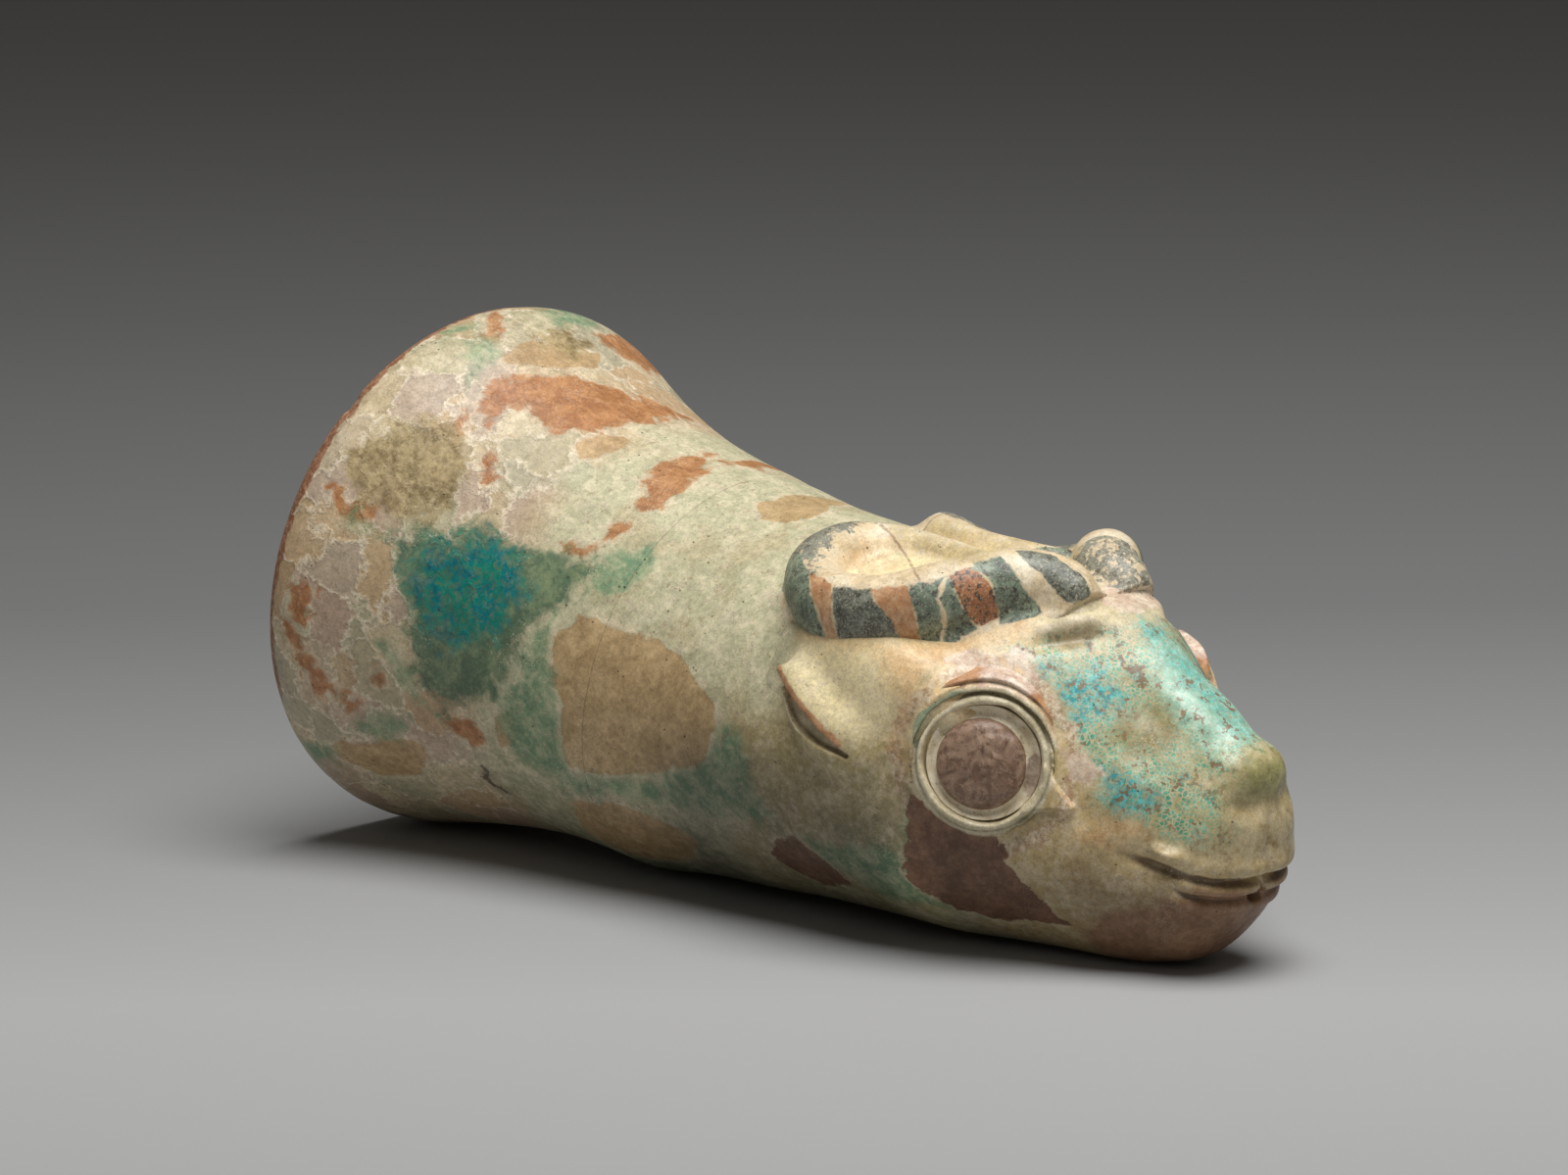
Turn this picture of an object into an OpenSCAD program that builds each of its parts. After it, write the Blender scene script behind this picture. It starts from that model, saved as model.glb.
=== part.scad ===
// Animal-head rhyton, a drinking horn of glazed clay, lying on its side.
// Each piece is shaped in the cup's own frame: x runs from the drinking mouth to
// the muzzle, z points to the crown of the head and y to the animal's left.
// lay_down() then tips that frame so that lip and jaw rest on the plane z = 0.

/* [Mouth and neck] */
// Radius of the drinking mouth at its edge
mouth_radius = 55; // [50:0.5:60]
// How far the lip swells outward past the mouth's edge
lip_swell = 1.2; // [0.4:0.1:2.5]
// How far behind the mouth's edge the lip is widest
lip_depth = 7; // [4:0.5:10]
// Radius of the neck at the seam between cup and head
neck_radius = 41.2; // [39:0.2:42]
// Length of the thrown cup from its mouth to the seam
cup_length = 80; // [70:1:90]
// Length over which the mouth flares out of the neck
flare_length = 52; // [44:1:60]
// Wall of the cup
cup_wall = 5; // [4:0.2:6]
// Rounding of the mouth's edge, inside and outside
lip_round = 1.8; // [1:0.1:2]

/* [Seam] */
// Length of the cup's spigot inside the head
spigot_length = 8; // [5:0.5:12]
// Gap between the spigot and its socket, all round
spigot_gap = 0.25; // [0.15:0.05:0.4]

/* [Head] */
// Length of the head from the seam to the front of the muzzle
head_length = 140; // [136:0.5:146]
// Height of the crown above the cup's axis, between the horns
crown_height = 47.8; // [46:0.2:50]
// Half width of the head behind the eyes
cheek_half_width = 37; // [35:0.5:39]
// Half width of the muzzle at the corners of the mouth
mouth_half_width = 22; // [20:0.5:24]
// Half width at the front of the muzzle
muzzle_half_width = 12; // [10:0.5:14]
// Height of the nose ridge above the cup's axis
nose_height = 31; // [28:0.5:33]
// Height of the line between the lips above the cup's axis
mouth_height = 7; // [5:0.5:9]
// Length of the rounding at the front of the muzzle
muzzle_round = 9.5; // [7:0.5:12]
// Depth of the groove between the lips
mouth_groove = 1.3; // [0.6:0.1:2]
// Wall of the head
head_wall = 6.5; // [5.5:0.1:7.5]
// Bore of the pour hole in the lower lip
pour_bore = 4; // [3:0.25:5]
// How far the pour hole lies under the line between the lips
pour_drop = 4.5; // [3.5:0.5:6]

/* [Horns] */
// Distance from the seam to the middle of the horn's root
horn_root_at = 86; // [83:0.5:89]
// Half thickness of the rolled horn at its root, across the roll
horn_half_width = 7; // [6:0.25:7.5]
// Half height of the rolled horn at its root
horn_half_height = 7.4; // [6.5:0.25:8]
// How much lower the left horn's outer limb lies than the right one's
left_sag = 4.6; // [3.5:0.1:5.5]
// Depth of the dish inside the horn's loop
dish_depth = 2.2; // [1:0.2:3.5]

/* [Ears] */
// Distance from the seam to the back tip of the ear
ear_tip_at = 48; // [46:0.5:50]
// Length of the ear from its tip to where it runs into the cheek
ear_length = 31; // [28:0.5:32]
// Half thickness of the ear where it is fullest
ear_half_width = 4.6; // [4:0.1:5.4]
// Half height of the ear where it is fullest
ear_half_height = 7.2; // [6.4:0.1:8]
// Width of the slit in the ear
ear_slit = 1.6; // [1.2:0.1:2.2]
// Length of the slit in the ear
slit_length = 23; // [20:0.5:26]
// How deep the slit goes into the ear
slit_depth = 4.4; // [3.5:0.1:5]

/* [Eyes] */
// Distance from the seam to the middle of the eye's seat
eye_at = 91.5; // [89:0.5:94]
// Height of the middle of the eye's seat above the cup's axis
eye_height = 17.6; // [16:0.1:19]
// How far the middle of the eye's seat lies inside the cheek's half width
eye_inset = 8.4; // [7.8:0.1:9]
// Angle by which the eye looks forward
eye_forward = 30; // [26:1:34]
// Angle by which the eye looks up
eye_up = 13; // [9:1:17]
// Radius of the opening inside the lid ring
ring_opening = 11.1; // [10.5:0.1:11.8]
// Width of the lid ring's band
ring_band = 2.2; // [1.8:0.1:2.8]
// How far the lid ring stands above the eye's seat
ring_height = 5.6; // [5:0.1:6.5]
// Widest part of the crescent of the upper lid
lid_band = 3.6; // [3:0.1:4.5]
// How far the crescent's outer arc is set above the middle of the eye
lid_shift = 4; // [3.4:0.1:4.6]
// How far the upper lid stands above the eye's seat
lid_height = 4.2; // [3.8:0.1:4.8]
// How deep the upper lid is set into the head, under the eye's seat
lid_sink = 1.6; // [1:0.1:2.2]
// Length of the wedge at the tear duct, from the ring's opening to its tip
tear_length = 5.8; // [5:0.1:6.6]
// Gap between the eyeball and the lid ring, and between ring and upper lid
eye_gap = 0.2; // [0.1:0.05:0.35]
// Radius of the iris
iris_radius = 8; // [7:0.1:9]
// Rise of the domed iris above the eyeball
iris_rise = 2; // [1.4:0.1:2.6]
// How far the eyeball stands above the eye's seat, under the iris
eyeball_height = 4.2; // [3.6:0.1:4.8]

/* [Lying down] */
// Angle by which the cup's axis dips towards the muzzle
tilt = 11.3; // [10.5:0.1:12]
// Depth of the flat worn into lip and jaw where the cup lies
wear_flat = 0.3; // [0.2:0.05:0.5]

/* [Hidden] */

// Fineness of round surfaces, of the head's rings and of the horn's sections
$fn = 96;
ring_points = 40;
roll_points = 12;

// Paired pieces are drawn on the animal's left, +y, and mirrored for its right
right = -1;
left = 1;
module on_side(side) {
    mirror([0, side == right ? 1 : 0, 0])
        children();
}

// Points from the first to the last row of a table, as a smooth curve.
// The first column of each row is the distance along the curve.
function row_slope(t, i) =
    i == 0 ? (t[1] - t[0]) / (t[1][0] - t[0][0])
    : i == len(t) - 1 ? (t[i] - t[i - 1]) / (t[i][0] - t[i - 1][0])
    : (t[i + 1] - t[i - 1]) / (t[i + 1][0] - t[i - 1][0]);
function span_of(t, x, i = 0) = i >= len(t) - 2 || x < t[i + 1][0] ? i : span_of(t, x, i + 1);
function row_at(t, x) =
    let (i = span_of(t, x),
         h = t[i + 1][0] - t[i][0],
         u = (x - t[i][0]) / h)
    (2 * u * u * u - 3 * u * u + 1) * t[i]
    + (u * u * u - 2 * u * u + u) * h * row_slope(t, i)
    + (3 * u * u - 2 * u * u * u) * t[i + 1]
    + (u * u * u - u * u) * h * row_slope(t, i + 1);

function unit(v) = v / norm(v);
function bump(d, reach) = exp(-d * d / (reach * reach));
function ease(u) = let (c = max(0, min(1, u))) c * c * (3 - 2 * c);

// Outside radius of the cup: a swelling lip, a flare and a nearly straight neck
neck_taper = 3;
lip_rows = [
    [0, mouth_radius],
    [lip_depth, mouth_radius + lip_swell],
    [lip_depth + 7, mouth_radius + lip_swell - 1.2],
    [flare_length * 0.5, (mouth_radius + neck_radius) / 2 + neck_taper],
    [flare_length, neck_radius + neck_taper],
    [cup_length, neck_radius]
];
cup_steps = 32;
function cup_radius(x) = row_at(lip_rows, x)[1];
cup_outline = [for (i = [0 : cup_steps]) let (x = cup_length * i / cup_steps) [x, cup_radius(x)]];

// Height of the axis at the mouth that brings the lowest point of the cup to
// the resting plane, less the worn flat
axis_height = max([for (p = cup_outline) p[0] * sin(tilt) + p[1] * cos(tilt)]) - wear_flat;
function floor_line(x) = (x * sin(tilt) - axis_height) / cos(tilt);

// Side of the block whose top is the resting plane
bench = 400;
module lay_down() {
    difference() {
        translate([-(back_end + front_end) / 2, 0, axis_height])
            rotate([0, tilt, 0])
                children();
        translate([-bench / 2, -bench / 2, -bench])
            cube(bench);
    }
}

// Profile of the head, from the seam to the muzzle:
// distance, top, underside, half width, height of the widest line, and how
// square the section is above and below that line
under_jaw = wear_flat + 0.1;
function jaw_line(x, lift) = floor_line(cup_length + x) + lift;
head_rows = [
    [0, neck_radius, -neck_radius, neck_radius, 0, 2, 2],
    [16, neck_radius + 0.2, jaw_line(16, 0.6), neck_radius - 0.8, 1.5, 2, 2],
    [34, neck_radius + 0.9, jaw_line(34, 0.4), neck_radius - 1.2, 3.5, 2.05, 2],
    [52, crown_height - 4, jaw_line(52, 0.4), neck_radius - 1.8, 5.5, 2.1, 2],
    [68, crown_height - 1.8, jaw_line(68, 0.3), (neck_radius + cheek_half_width) / 2 + 0.4, 8, 2.15, 2.1],
    [82, crown_height - 0.4, jaw_line(82, -under_jaw), cheek_half_width, 10.5, 2, 2.2],
    [94, crown_height, jaw_line(94, -under_jaw), cheek_half_width - 5, 12, 1.75, 2.2],
    [104, crown_height - 4, jaw_line(104, -under_jaw), mouth_half_width + 5, 11, 1.65, 2.2],
    [116, nose_height + 7, jaw_line(116, -under_jaw), mouth_half_width, mouth_height + 1, 1.6, 2.3],
    [126, nose_height + 2, jaw_line(126, 0.3), mouth_half_width - 5, mouth_height, 1.65, 2.4],
    [134, nose_height - 1.5, jaw_line(134, 1), muzzle_half_width + 2.5, mouth_height, 1.9, 2.4],
    [head_length, nose_height - 4, jaw_line(134, 4), muzzle_half_width, mouth_height, 2.2, 2.2]
];

// Shrink of the section towards the rounded front of the muzzle
function front_shrink(x) =
    let (u = max(0, x - head_length + muzzle_round) / muzzle_round)
    pow(1 - pow(min(u, 1), 2.6), 1 / 2.6);

// How far the jaw stays behind the upper lip, at height z
chin_slope = 0.26;
function chin_set_back(x, z) = chin_slope * max(0, mouth_height - z) * ease((x - 118) / (head_length - 118));

// One point of the head's skin at distance x and angle a, seen from the front.
// skin = 0 is the outside, and a wall's thickness gives the hollow.
function skin_point(x, a, skin) =
    let (r = row_at(head_rows, x),
         k = front_shrink(x),
         c = cos(a),
         s = sin(a),
         top = s >= 0,
         power = 2 / (top ? r[5] : r[6]),
         high = top ? r[1] - r[4] - skin : r[4] - r[2] - skin,
         across = sign(c) * pow(abs(c), power) * (r[3] - skin),
         up = sign(s) * pow(abs(s), power) * high,
         z = mouth_height + k * (r[4] - mouth_height + up))
    [cup_length + x - chin_set_back(x, z), k * across, z];

// Middle of the left eye's seat and the direction in which the eye looks
eye_centre = [cup_length + eye_at, cheek_half_width - eye_inset, eye_height];
eye_axis = [cos(eye_up) * sin(eye_forward), cos(eye_up) * cos(eye_forward), sin(eye_up)];

// Outside of the head with its raised eye sockets, its brow and its lips
socket_rise = 2.2;
socket_reach = 20;
lip_from = 112;
lip_fade = 12;
lip_turn = 0.35;
function lips(x, a) = ease((x - lip_from) / lip_fade) * mouth_groove * bump(sin(a) * 16, 1.6);
function head_point(x, a) =
    let (p = skin_point(x, a, 0),
         rise = socket_rise * bump(norm([p[0], abs(p[1]), p[2]] - eye_centre), socket_reach))
    p - unit([-lip_turn * ease((x - lip_from) / lip_fade), -p[1], mouth_height - p[2]]) * (rise - lips(x, a));

// Triangles that close a stack of rings, each of n points
function stack_faces(rings, n) = concat(
    [for (i = [0 : rings - 2], j = [0 : n - 1])
        each [[i * n + j, (i + 1) * n + j, i * n + (j + 1) % n],
              [i * n + (j + 1) % n, (i + 1) * n + j, (i + 1) * n + (j + 1) % n]]],
    [for (j = [0 : n - 1]) [rings * n, j, (j + 1) % n]],
    [for (j = [0 : n - 1]) [rings * n + 1, (rings - 1) * n + (j + 1) % n, (rings - 1) * n + j]]);
function middle(points) = [for (k = [0 : 2]) [for (p = points) p[k]] * [for (p = points) 1] / len(points)];

module stack(rings, first, last) {
    n = len(rings[0]);
    polyhedron(
        points = concat([for (r = rings) each r], [first, last]),
        faces = stack_faces(len(rings), n),
        convexity = 6);
}

// Distances of the head's rings: even along the head, closer on its front
head_steps = 30;
front_steps = 7;
front_from = head_length - muzzle_round;
head_stops = concat(
    [for (i = [0 : head_steps]) front_from * i / head_steps],
    [for (i = [1 : front_steps]) front_from + muzzle_round * sin(86 * i / front_steps)]);

// Ends of the lying cup along the resting plane: the mouth's lower edge and the
// front of the muzzle. The origin lies midway between them.
back_end = lip_round * cos(tilt) - (mouth_radius - lip_round) * sin(tilt) - lip_round;
front_end = max([for (x = head_stops, j = [0 : ring_points - 1])
    let (p = head_point(x, 360 * j / ring_points))
    p[0] * cos(tilt) + p[2] * sin(tilt)]);

module head_outside() {
    rings = [for (x = head_stops) [for (j = [0 : ring_points - 1]) head_point(x, 360 * j / ring_points)]];
    stack(rings, [cup_length, 0, 0], [cup_length + head_length, 0, mouth_height]);
}

// The drinking hollow inside the head, ending in a blunt throat
hollow_steps = 14;
hollow_points = 24;
hollow_end = 118;
throat_shrink = 0.5;
module head_hollow() {
    rings = [for (i = [0 : hollow_steps])
        let (x = -1 + (hollow_end + 1) * i / hollow_steps,
             k = 1 - throat_shrink * ease((x - 96) / (hollow_end - 96)))
        [for (j = [0 : hollow_points - 1])
            let (p = skin_point(max(x, 0), 360 * j / hollow_points, head_wall))
            [cup_length + x, p[1] * k, mouth_height + (p[2] - mouth_height) * k]]];
    stack(rings, [cup_length - 1, 0, 0], [cup_length + hollow_end + 2, 0, mouth_height - pour_drop]);
}

module along_x(from) {
    translate([from, 0, 0])
        rotate([0, 90, 0])
            children();
}

// Round the two corners of the mouth's edge with short arcs
inner_taper = 0.6;
module cup_profile() {
    seam_r = neck_radius - head_wall / 2 + 0.5;
    inner_edge = mouth_radius - cup_wall + inner_taper;
    arc_steps = 6;
    polygon(concat(
        [for (i = [0 : arc_steps])
            let (a = 90 * i / arc_steps)
            [inner_edge + lip_round - lip_round * cos(a), lip_round - lip_round * sin(a)]],
        [for (i = [0 : arc_steps])
            let (a = 90 * i / arc_steps)
            [mouth_radius - lip_round + lip_round * sin(a), lip_round - lip_round * cos(a)]],
        [for (p = cup_outline) if (p[0] > lip_round + 0.6) [p[1], p[0]]],
        [[seam_r, cup_length],
         [seam_r, cup_length + spigot_length],
         [neck_radius - head_wall, cup_length + spigot_length]],
        [for (i = [cup_steps : -1 : 0])
            let (p = cup_outline[i],
                 share = p[0] / cup_length,
                 wall_here = cup_wall + share * (head_wall - cup_wall) - inner_taper * (1 - share))
            if (p[0] > lip_round + 0.6) [p[1] - wall_here, p[0]]]));
}

module cup_body() {
    color("wheat")
        lay_down()
            along_x(0)
                rotate_extrude()
                    cup_profile();
}

// Puts children on the left eye's seat: z looks out of the eye, x to the muzzle
// and y up
module at_eye() {
    translate(eye_centre)
        rotate([0, acos(eye_axis[2]), atan2(eye_axis[1], eye_axis[0])])
            rotate([0, 0, 90])
                mirror([1, 0, 0])
                    children();
}

// The lid's crescent lies between two arcs: the ring's edge and a lower arc
// that is set upward and a little back
seat_radius = ring_opening + ring_band + eye_gap;
lid_radius = seat_radius + lid_band - lid_shift;
lid_turn = 12;
seat_rise = 14;
module at_lid_arc() {
    rotate([0, 0, lid_turn])
        translate([0, lid_shift, 0])
            children();
}

// The wedge's outline, from the tear duct's tip to the ring
tear_angle = -15;
function on_ring(r, a) = [r * cos(a), r * sin(a)];
module tear_outline(gap) {
    reach = ring_opening + tear_length + gap;
    band = ring_opening + ring_band / 2;
    polygon([on_ring(reach, tear_angle),
             on_ring(band + gap, tear_angle + 22),
             on_ring(band - ring_band, tear_angle - 20),
             on_ring(band + gap, tear_angle - 48)]);
}

module eye_seat() {
    cylinder(r = seat_radius, h = seat_rise);
    difference() {
        translate([0, 0, -lid_sink])
            at_lid_arc()
                cylinder(r = lid_radius + eye_gap, h = seat_rise);
        translate([0, 0, -seat_rise])
            cylinder(r = seat_radius - eye_gap, h = seat_rise);
    }
    linear_extrude(seat_rise)
        tear_outline(eye_gap);
}

module head() {
    color("burlywood")
        lay_down()
            difference() {
                head_outside();
                head_hollow();
                along_x(cup_length - 1)
                    cylinder(r = neck_radius - head_wall / 2 + 0.5 + spigot_gap, h = spigot_length + 1 + spigot_gap);
                translate([0, 0, mouth_height - pour_drop])
                    along_x(cup_length + hollow_end - 3)
                        cylinder(d = pour_bore, h = head_length, $fn = 32);
                for (side = [right, left])
                    on_side(side)
                        at_eye()
                            eye_seat();
            }
}

// Route of the rolled horn, in the head's frame: distance from the horn's root
// backward, distance from the middle plane, height under the crown, and the
// roll's thickness and height as shares of the root's
horn_route = [
    [0, 4, 7.6, -1.6, 0.5, 0.5],
    [1, 2.4, 7.8, -0.8, 0.8, 0.8],
    [2, -1.2, 8.6, -0.4, 0.9, 0.88],
    [3, -5.5, 13, -0.6, 0.98, 0.95],
    [4, -10, 19.5, -2.9, 1, 1],
    [5, -16, 25.8, -6, 1, 1],
    [6, -24, 30, -9.5, 0.93, 0.97],
    [7, -33, 31, -11.5, 0.88, 0.93],
    [8, -41.5, 28, -11, 0.84, 0.88],
    [9, -46.8, 22, -8.8, 0.8, 0.82],
    [10, -47, 14.5, -6.8, 0.76, 0.74],
    [11, -42.5, 8.8, -5.2, 0.64, 0.6],
    [12, -35.5, 6.6, -4, 0.54, 0.5],
    [13, -27, 6.2, -3.2, 0.46, 0.44],
    [14, -19, 7.6, -2, 0.38, 0.36],
    [15, -13, 10, -1, 0.25, 0.25]
];
horn_lean = [0, 0.42, 0.907];

// The outer limb of the left horn was pressed down lower than that of the right
sag_at = 8;
sag_reach = 2;
function horn_sag(t, side) = side == left ? left_sag * bump(t - sag_at, sag_reach) : 0;
horn_steps = 42;
function horn_row(t) = row_at(horn_route, t);
function horn_middle(t, side) =
    let (r = horn_row(t))
    [cup_length + horn_root_at + r[1], r[2], crown_height + r[3] - horn_sag(t, side)];
function horn_ring(t, side) =
    let (r = horn_row(t),
         c = horn_middle(t, side),
         ahead = unit(horn_middle(t + 0.01, side) - horn_middle(t - 0.01, side)),
         out = unit(cross(horn_lean, ahead)),
         up = cross(ahead, out))
    [for (j = [0 : roll_points - 1])
        let (a = 360 * j / roll_points)
        c + out * cos(a) * r[4] * horn_half_width + up * sin(a) * r[5] * horn_half_height];
horn_last = len(horn_route) - 1;

module horn_roll(side) {
    stops = [for (i = [0 : horn_steps]) horn_last * i / horn_steps];
    rings = [for (t = stops) horn_ring(t, side)];
    stack(rings, middle(rings[0]) + [1.5, 0, 0], middle(rings[horn_steps]));
}

// The dished floor inside the loop, down into the head
dish_from = 4;
dish_to = 14;
dish_points = 18;
dish_root = 14;
module horn_dish(side) {
    ring = [for (i = [0 : dish_points - 1])
        let (t = dish_from + (dish_to - dish_from) * i / (dish_points - 1))
        horn_middle(t, side) + horn_lean * (horn_row(t)[5] * horn_half_height - 1.6)];
    low = [for (p = ring) p - horn_lean * dish_root];
    waist = [for (p = ring) middle(ring) + 0.5 * (p - middle(ring)) - horn_lean * dish_depth * 0.8];
    rings = [low, ring, waist];
    stack(rings, middle(low), middle(ring) - horn_lean * dish_depth);
}

module horn(side) {
    color("slategray")
        lay_down()
            difference() {
                on_side(side)
                    union() {
                        horn_roll(side);
                        horn_dish(side);
                    }
                head_outside();
            }
}

// Route of the ear, from its tip forward: share of the ear's length, distance
// outward from the head's widest line, height above the cup's axis, and the
// thickness and height of its section as shares of the fullest
ear_route = [
    [0, 0, 1.3, 23, 0.1, 0.08],
    [1, 0.14, 0.6, 22, 0.56, 0.48],
    [2, 0.31, -0.1, 21, 0.87, 0.83],
    [3, 0.5, -0.6, 20.3, 1, 1],
    [4, 0.7, -0.7, 20.5, 0.93, 0.92],
    [5, 0.86, -0.7, 21.2, 0.65, 0.64],
    [6, 1, -0.6, 22, 0.15, 0.15]
];
ear_steps = 18;
function ear_middle(share, out, height) =
    let (x = ear_tip_at + share * ear_length)
    [cup_length + x, row_at(head_rows, x)[3] + out, height];
module ear_leaf() {
    last = len(ear_route) - 1;
    rings = [for (i = [0 : ear_steps])
        let (r = row_at(ear_route, last * i / ear_steps),
             c = ear_middle(r[1], r[2], r[3]))
        [for (j = [0 : roll_points - 1])
            let (a = 360 * j / roll_points)
            c + [0, cos(a) * r[4] * ear_half_width, sin(a) * r[5] * ear_half_height]]];
    stack(rings, middle(rings[0]), middle(rings[ear_steps]));
}

// The slit under the ear's edge: a leaf-shaped slot that rises into the ear
slit_height = 19.6;
slit_inset = 1.2;
slit_fall = 18;
slit_lift = 24;
module ear_slit_cut() {
    arc = (slit_length * slit_length / 4 + slit_depth * slit_depth) / (2 * slit_depth);
    translate(ear_middle(slit_length / 2 / ear_length, ear_half_width - slit_inset, slit_height))
        rotate([0, slit_fall, 0])
            rotate([-slit_lift, 0, 0])
                translate([0, 0, -ear_slit / 2])
                    linear_extrude(ear_slit)
                        intersection() {
                            translate([0, arc - slit_depth])
                                circle(arc);
                            translate([0, slit_depth - arc])
                                circle(arc);
                        }
}

module ear(side) {
    color("peru")
        lay_down()
            on_side(side)
                difference() {
                    ear_leaf();
                    ear_slit_cut();
                    head_outside();
                }
}

module eye_ring(side) {
    color("ivory")
        lay_down()
            on_side(side)
                at_eye()
                    difference() {
                        union() {
                            rotate_extrude()
                                translate([ring_opening, 0]) {
                                    square([ring_band, ring_height - ring_band / 2]);
                                    translate([ring_band / 2, ring_height - ring_band / 2])
                                        circle(d = ring_band, $fn = 32);
                                }
                            linear_extrude(ring_height - ring_band / 2)
                                tear_outline(0);
                        }
                        translate([0, 0, -1])
                            cylinder(r = ring_opening, h = ring_height + 2);
                    }
}

lid_bevel = 3;
module upper_lid(side) {
    color("lightsalmon")
        lay_down()
            on_side(side)
                at_eye()
                    difference() {
                        at_lid_arc() {
                            translate([0, 0, -lid_sink])
                                cylinder(r = lid_radius, h = lid_sink + lid_height - lid_bevel);
                            translate([0, 0, lid_height - lid_bevel])
                                cylinder(r1 = lid_radius, r2 = lid_radius - lid_bevel, h = lid_bevel);
                        }
                        translate([0, 0, -seat_rise])
                            cylinder(r = seat_radius, h = 2 * seat_rise);
                    }
}

ball_edge = 1.5;
module eyeball(side) {
    r = ring_opening - eye_gap;
    color("lemonchiffon")
        lay_down()
            on_side(side)
                at_eye() {
                    cylinder(r = r, h = eyeball_height - ball_edge);
                    translate([0, 0, eyeball_height - ball_edge])
                        cylinder(r1 = r, r2 = iris_radius + 0.2, h = ball_edge);
                }
}

module iris(side) {
    ball = (iris_radius * iris_radius + iris_rise * iris_rise) / (2 * iris_rise);
    color("sienna")
        lay_down()
            on_side(side)
                at_eye()
                    translate([0, 0, eyeball_height])
                        intersection() {
                            cylinder(r = iris_radius, h = iris_rise + 1);
                            translate([0, 0, iris_rise - ball])
                                sphere(r = ball);
                        }
}

cup_body();
head();
horn(right);  // horn_right
horn(left);  // horn_left
ear(right);  // ear_right
ear(left);  // ear_left
upper_lid(right);  // upper_lid_right
upper_lid(left);  // upper_lid_left
eye_ring(right);  // eye_ring_right
eye_ring(left);  // eye_ring_left
eyeball(right);  // eyeball_right
eyeball(left);  // eyeball_left
iris(right);  // iris_right
iris(left);  // iris_left
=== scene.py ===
"""Looks of the animal-head rhyton: a glazed clay drinking cup that lies on its side."""
import math

import bpy
import numpy as np
from mathutils import Matrix, Vector


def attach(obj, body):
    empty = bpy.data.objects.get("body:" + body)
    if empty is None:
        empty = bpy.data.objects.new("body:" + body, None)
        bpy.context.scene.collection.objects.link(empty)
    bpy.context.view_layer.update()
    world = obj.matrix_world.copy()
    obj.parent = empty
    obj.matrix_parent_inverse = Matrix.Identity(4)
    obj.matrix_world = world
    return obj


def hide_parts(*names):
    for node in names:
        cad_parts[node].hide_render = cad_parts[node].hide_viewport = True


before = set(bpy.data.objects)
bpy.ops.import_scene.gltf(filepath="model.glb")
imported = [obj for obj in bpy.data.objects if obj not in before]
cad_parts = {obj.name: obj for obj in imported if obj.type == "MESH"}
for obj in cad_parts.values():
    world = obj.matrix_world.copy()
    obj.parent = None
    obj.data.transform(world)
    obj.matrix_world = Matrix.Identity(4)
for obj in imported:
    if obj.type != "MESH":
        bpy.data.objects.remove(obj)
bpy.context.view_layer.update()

# ---------------------------------------------------------------- the cup's own frame
# s runs along the cup's axis from mouth to muzzle, y to the animal's left, w to its crown,
# all in millimetres. place() lays the cup down as the CAD does.
TILT = math.radians(11.3)
SHIFT, AXIS_HEIGHT = 103.997, 56.5002
COS_T, SIN_T = math.cos(TILT), math.sin(TILT)


def place(p):
    """Points of the cup's frame, laid down, in metres."""
    s, y, w = p[..., 0], p[..., 1], p[..., 2]
    out = [s * COS_T + w * SIN_T - SHIFT, y, AXIS_HEIGHT - s * SIN_T + w * COS_T]
    return np.stack(out, -1) / 1000


CAMERA_AT = np.array([755.3, -763.6, 337.7])
CAMERA_TO = np.array([91.2, 0.0, 22.4])
CAMERA_UP = np.array([-0.191, 0.0, 0.982])
FOCAL = 5376.0


def normed(v):
    """Vectors made 1 long."""
    return v / np.maximum(np.linalg.norm(v, axis=-1, keepdims=True), 1e-9)


AHEAD = normed(CAMERA_TO - CAMERA_AT)
RIGHT = normed(np.cross(AHEAD, CAMERA_UP))
UPWARD = np.cross(RIGHT, AHEAD)


def seen_at(p):
    """Where a point of the cup's frame stands in the 1600 x 1199 picture."""
    v = p - CAMERA_AT
    z = v @ AHEAD
    return np.stack([800 + FOCAL * (v @ RIGHT) / z, 599.5 - FOCAL * (v @ UPWARD) / z], -1)


# ---------------------------------------------------------------- smooth noise
def lattice(seed):
    return np.random.default_rng(seed).random((32, 32, 32)).astype(np.float32)


LATTICES = [lattice(k) for k in range(4)]


def noise(p, size, seed=0):
    """Smooth noise of about that size in millimetres, from -1 to 1."""
    q = p / size + 7.31 * seed
    i = np.floor(q).astype(int)
    f = q - i
    f = f * f * (3 - 2 * f)
    grid = LATTICES[seed % 4]
    total = 0
    for dx in (0, 1):
        for dy in (0, 1):
            for dz in (0, 1):
                wt = (f[..., 0] if dx else 1 - f[..., 0]) * (f[..., 1] if dy else 1 - f[..., 1])
                wt = wt * (f[..., 2] if dz else 1 - f[..., 2])
                total = total + wt * grid[(i[..., 0] + dx) % 32, (i[..., 1] + dy) % 32, (i[..., 2] + dz) % 32]
    return 2 * total - 1


def fractal(p, size, steps=3, seed=0):
    """Noise of ever finer size, summed."""
    return sum(noise(p, size / 2**k, seed + k) / 2**k for k in range(steps)) / 1.6


def smooth(x, low, high):
    """A smooth step from 0 to 1 while x goes from low to high."""
    u = np.clip((x - low) / (high - low), 0, 1)
    return u * u * (3 - 2 * u)


def blob(p, centre, reach):
    """1 at the centre, falling off over reach (one size, or one for each axis)."""
    d = (p - np.array(centre, float)) / np.array(reach, float)
    return np.exp(-np.sum(d * d, -1))


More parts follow.
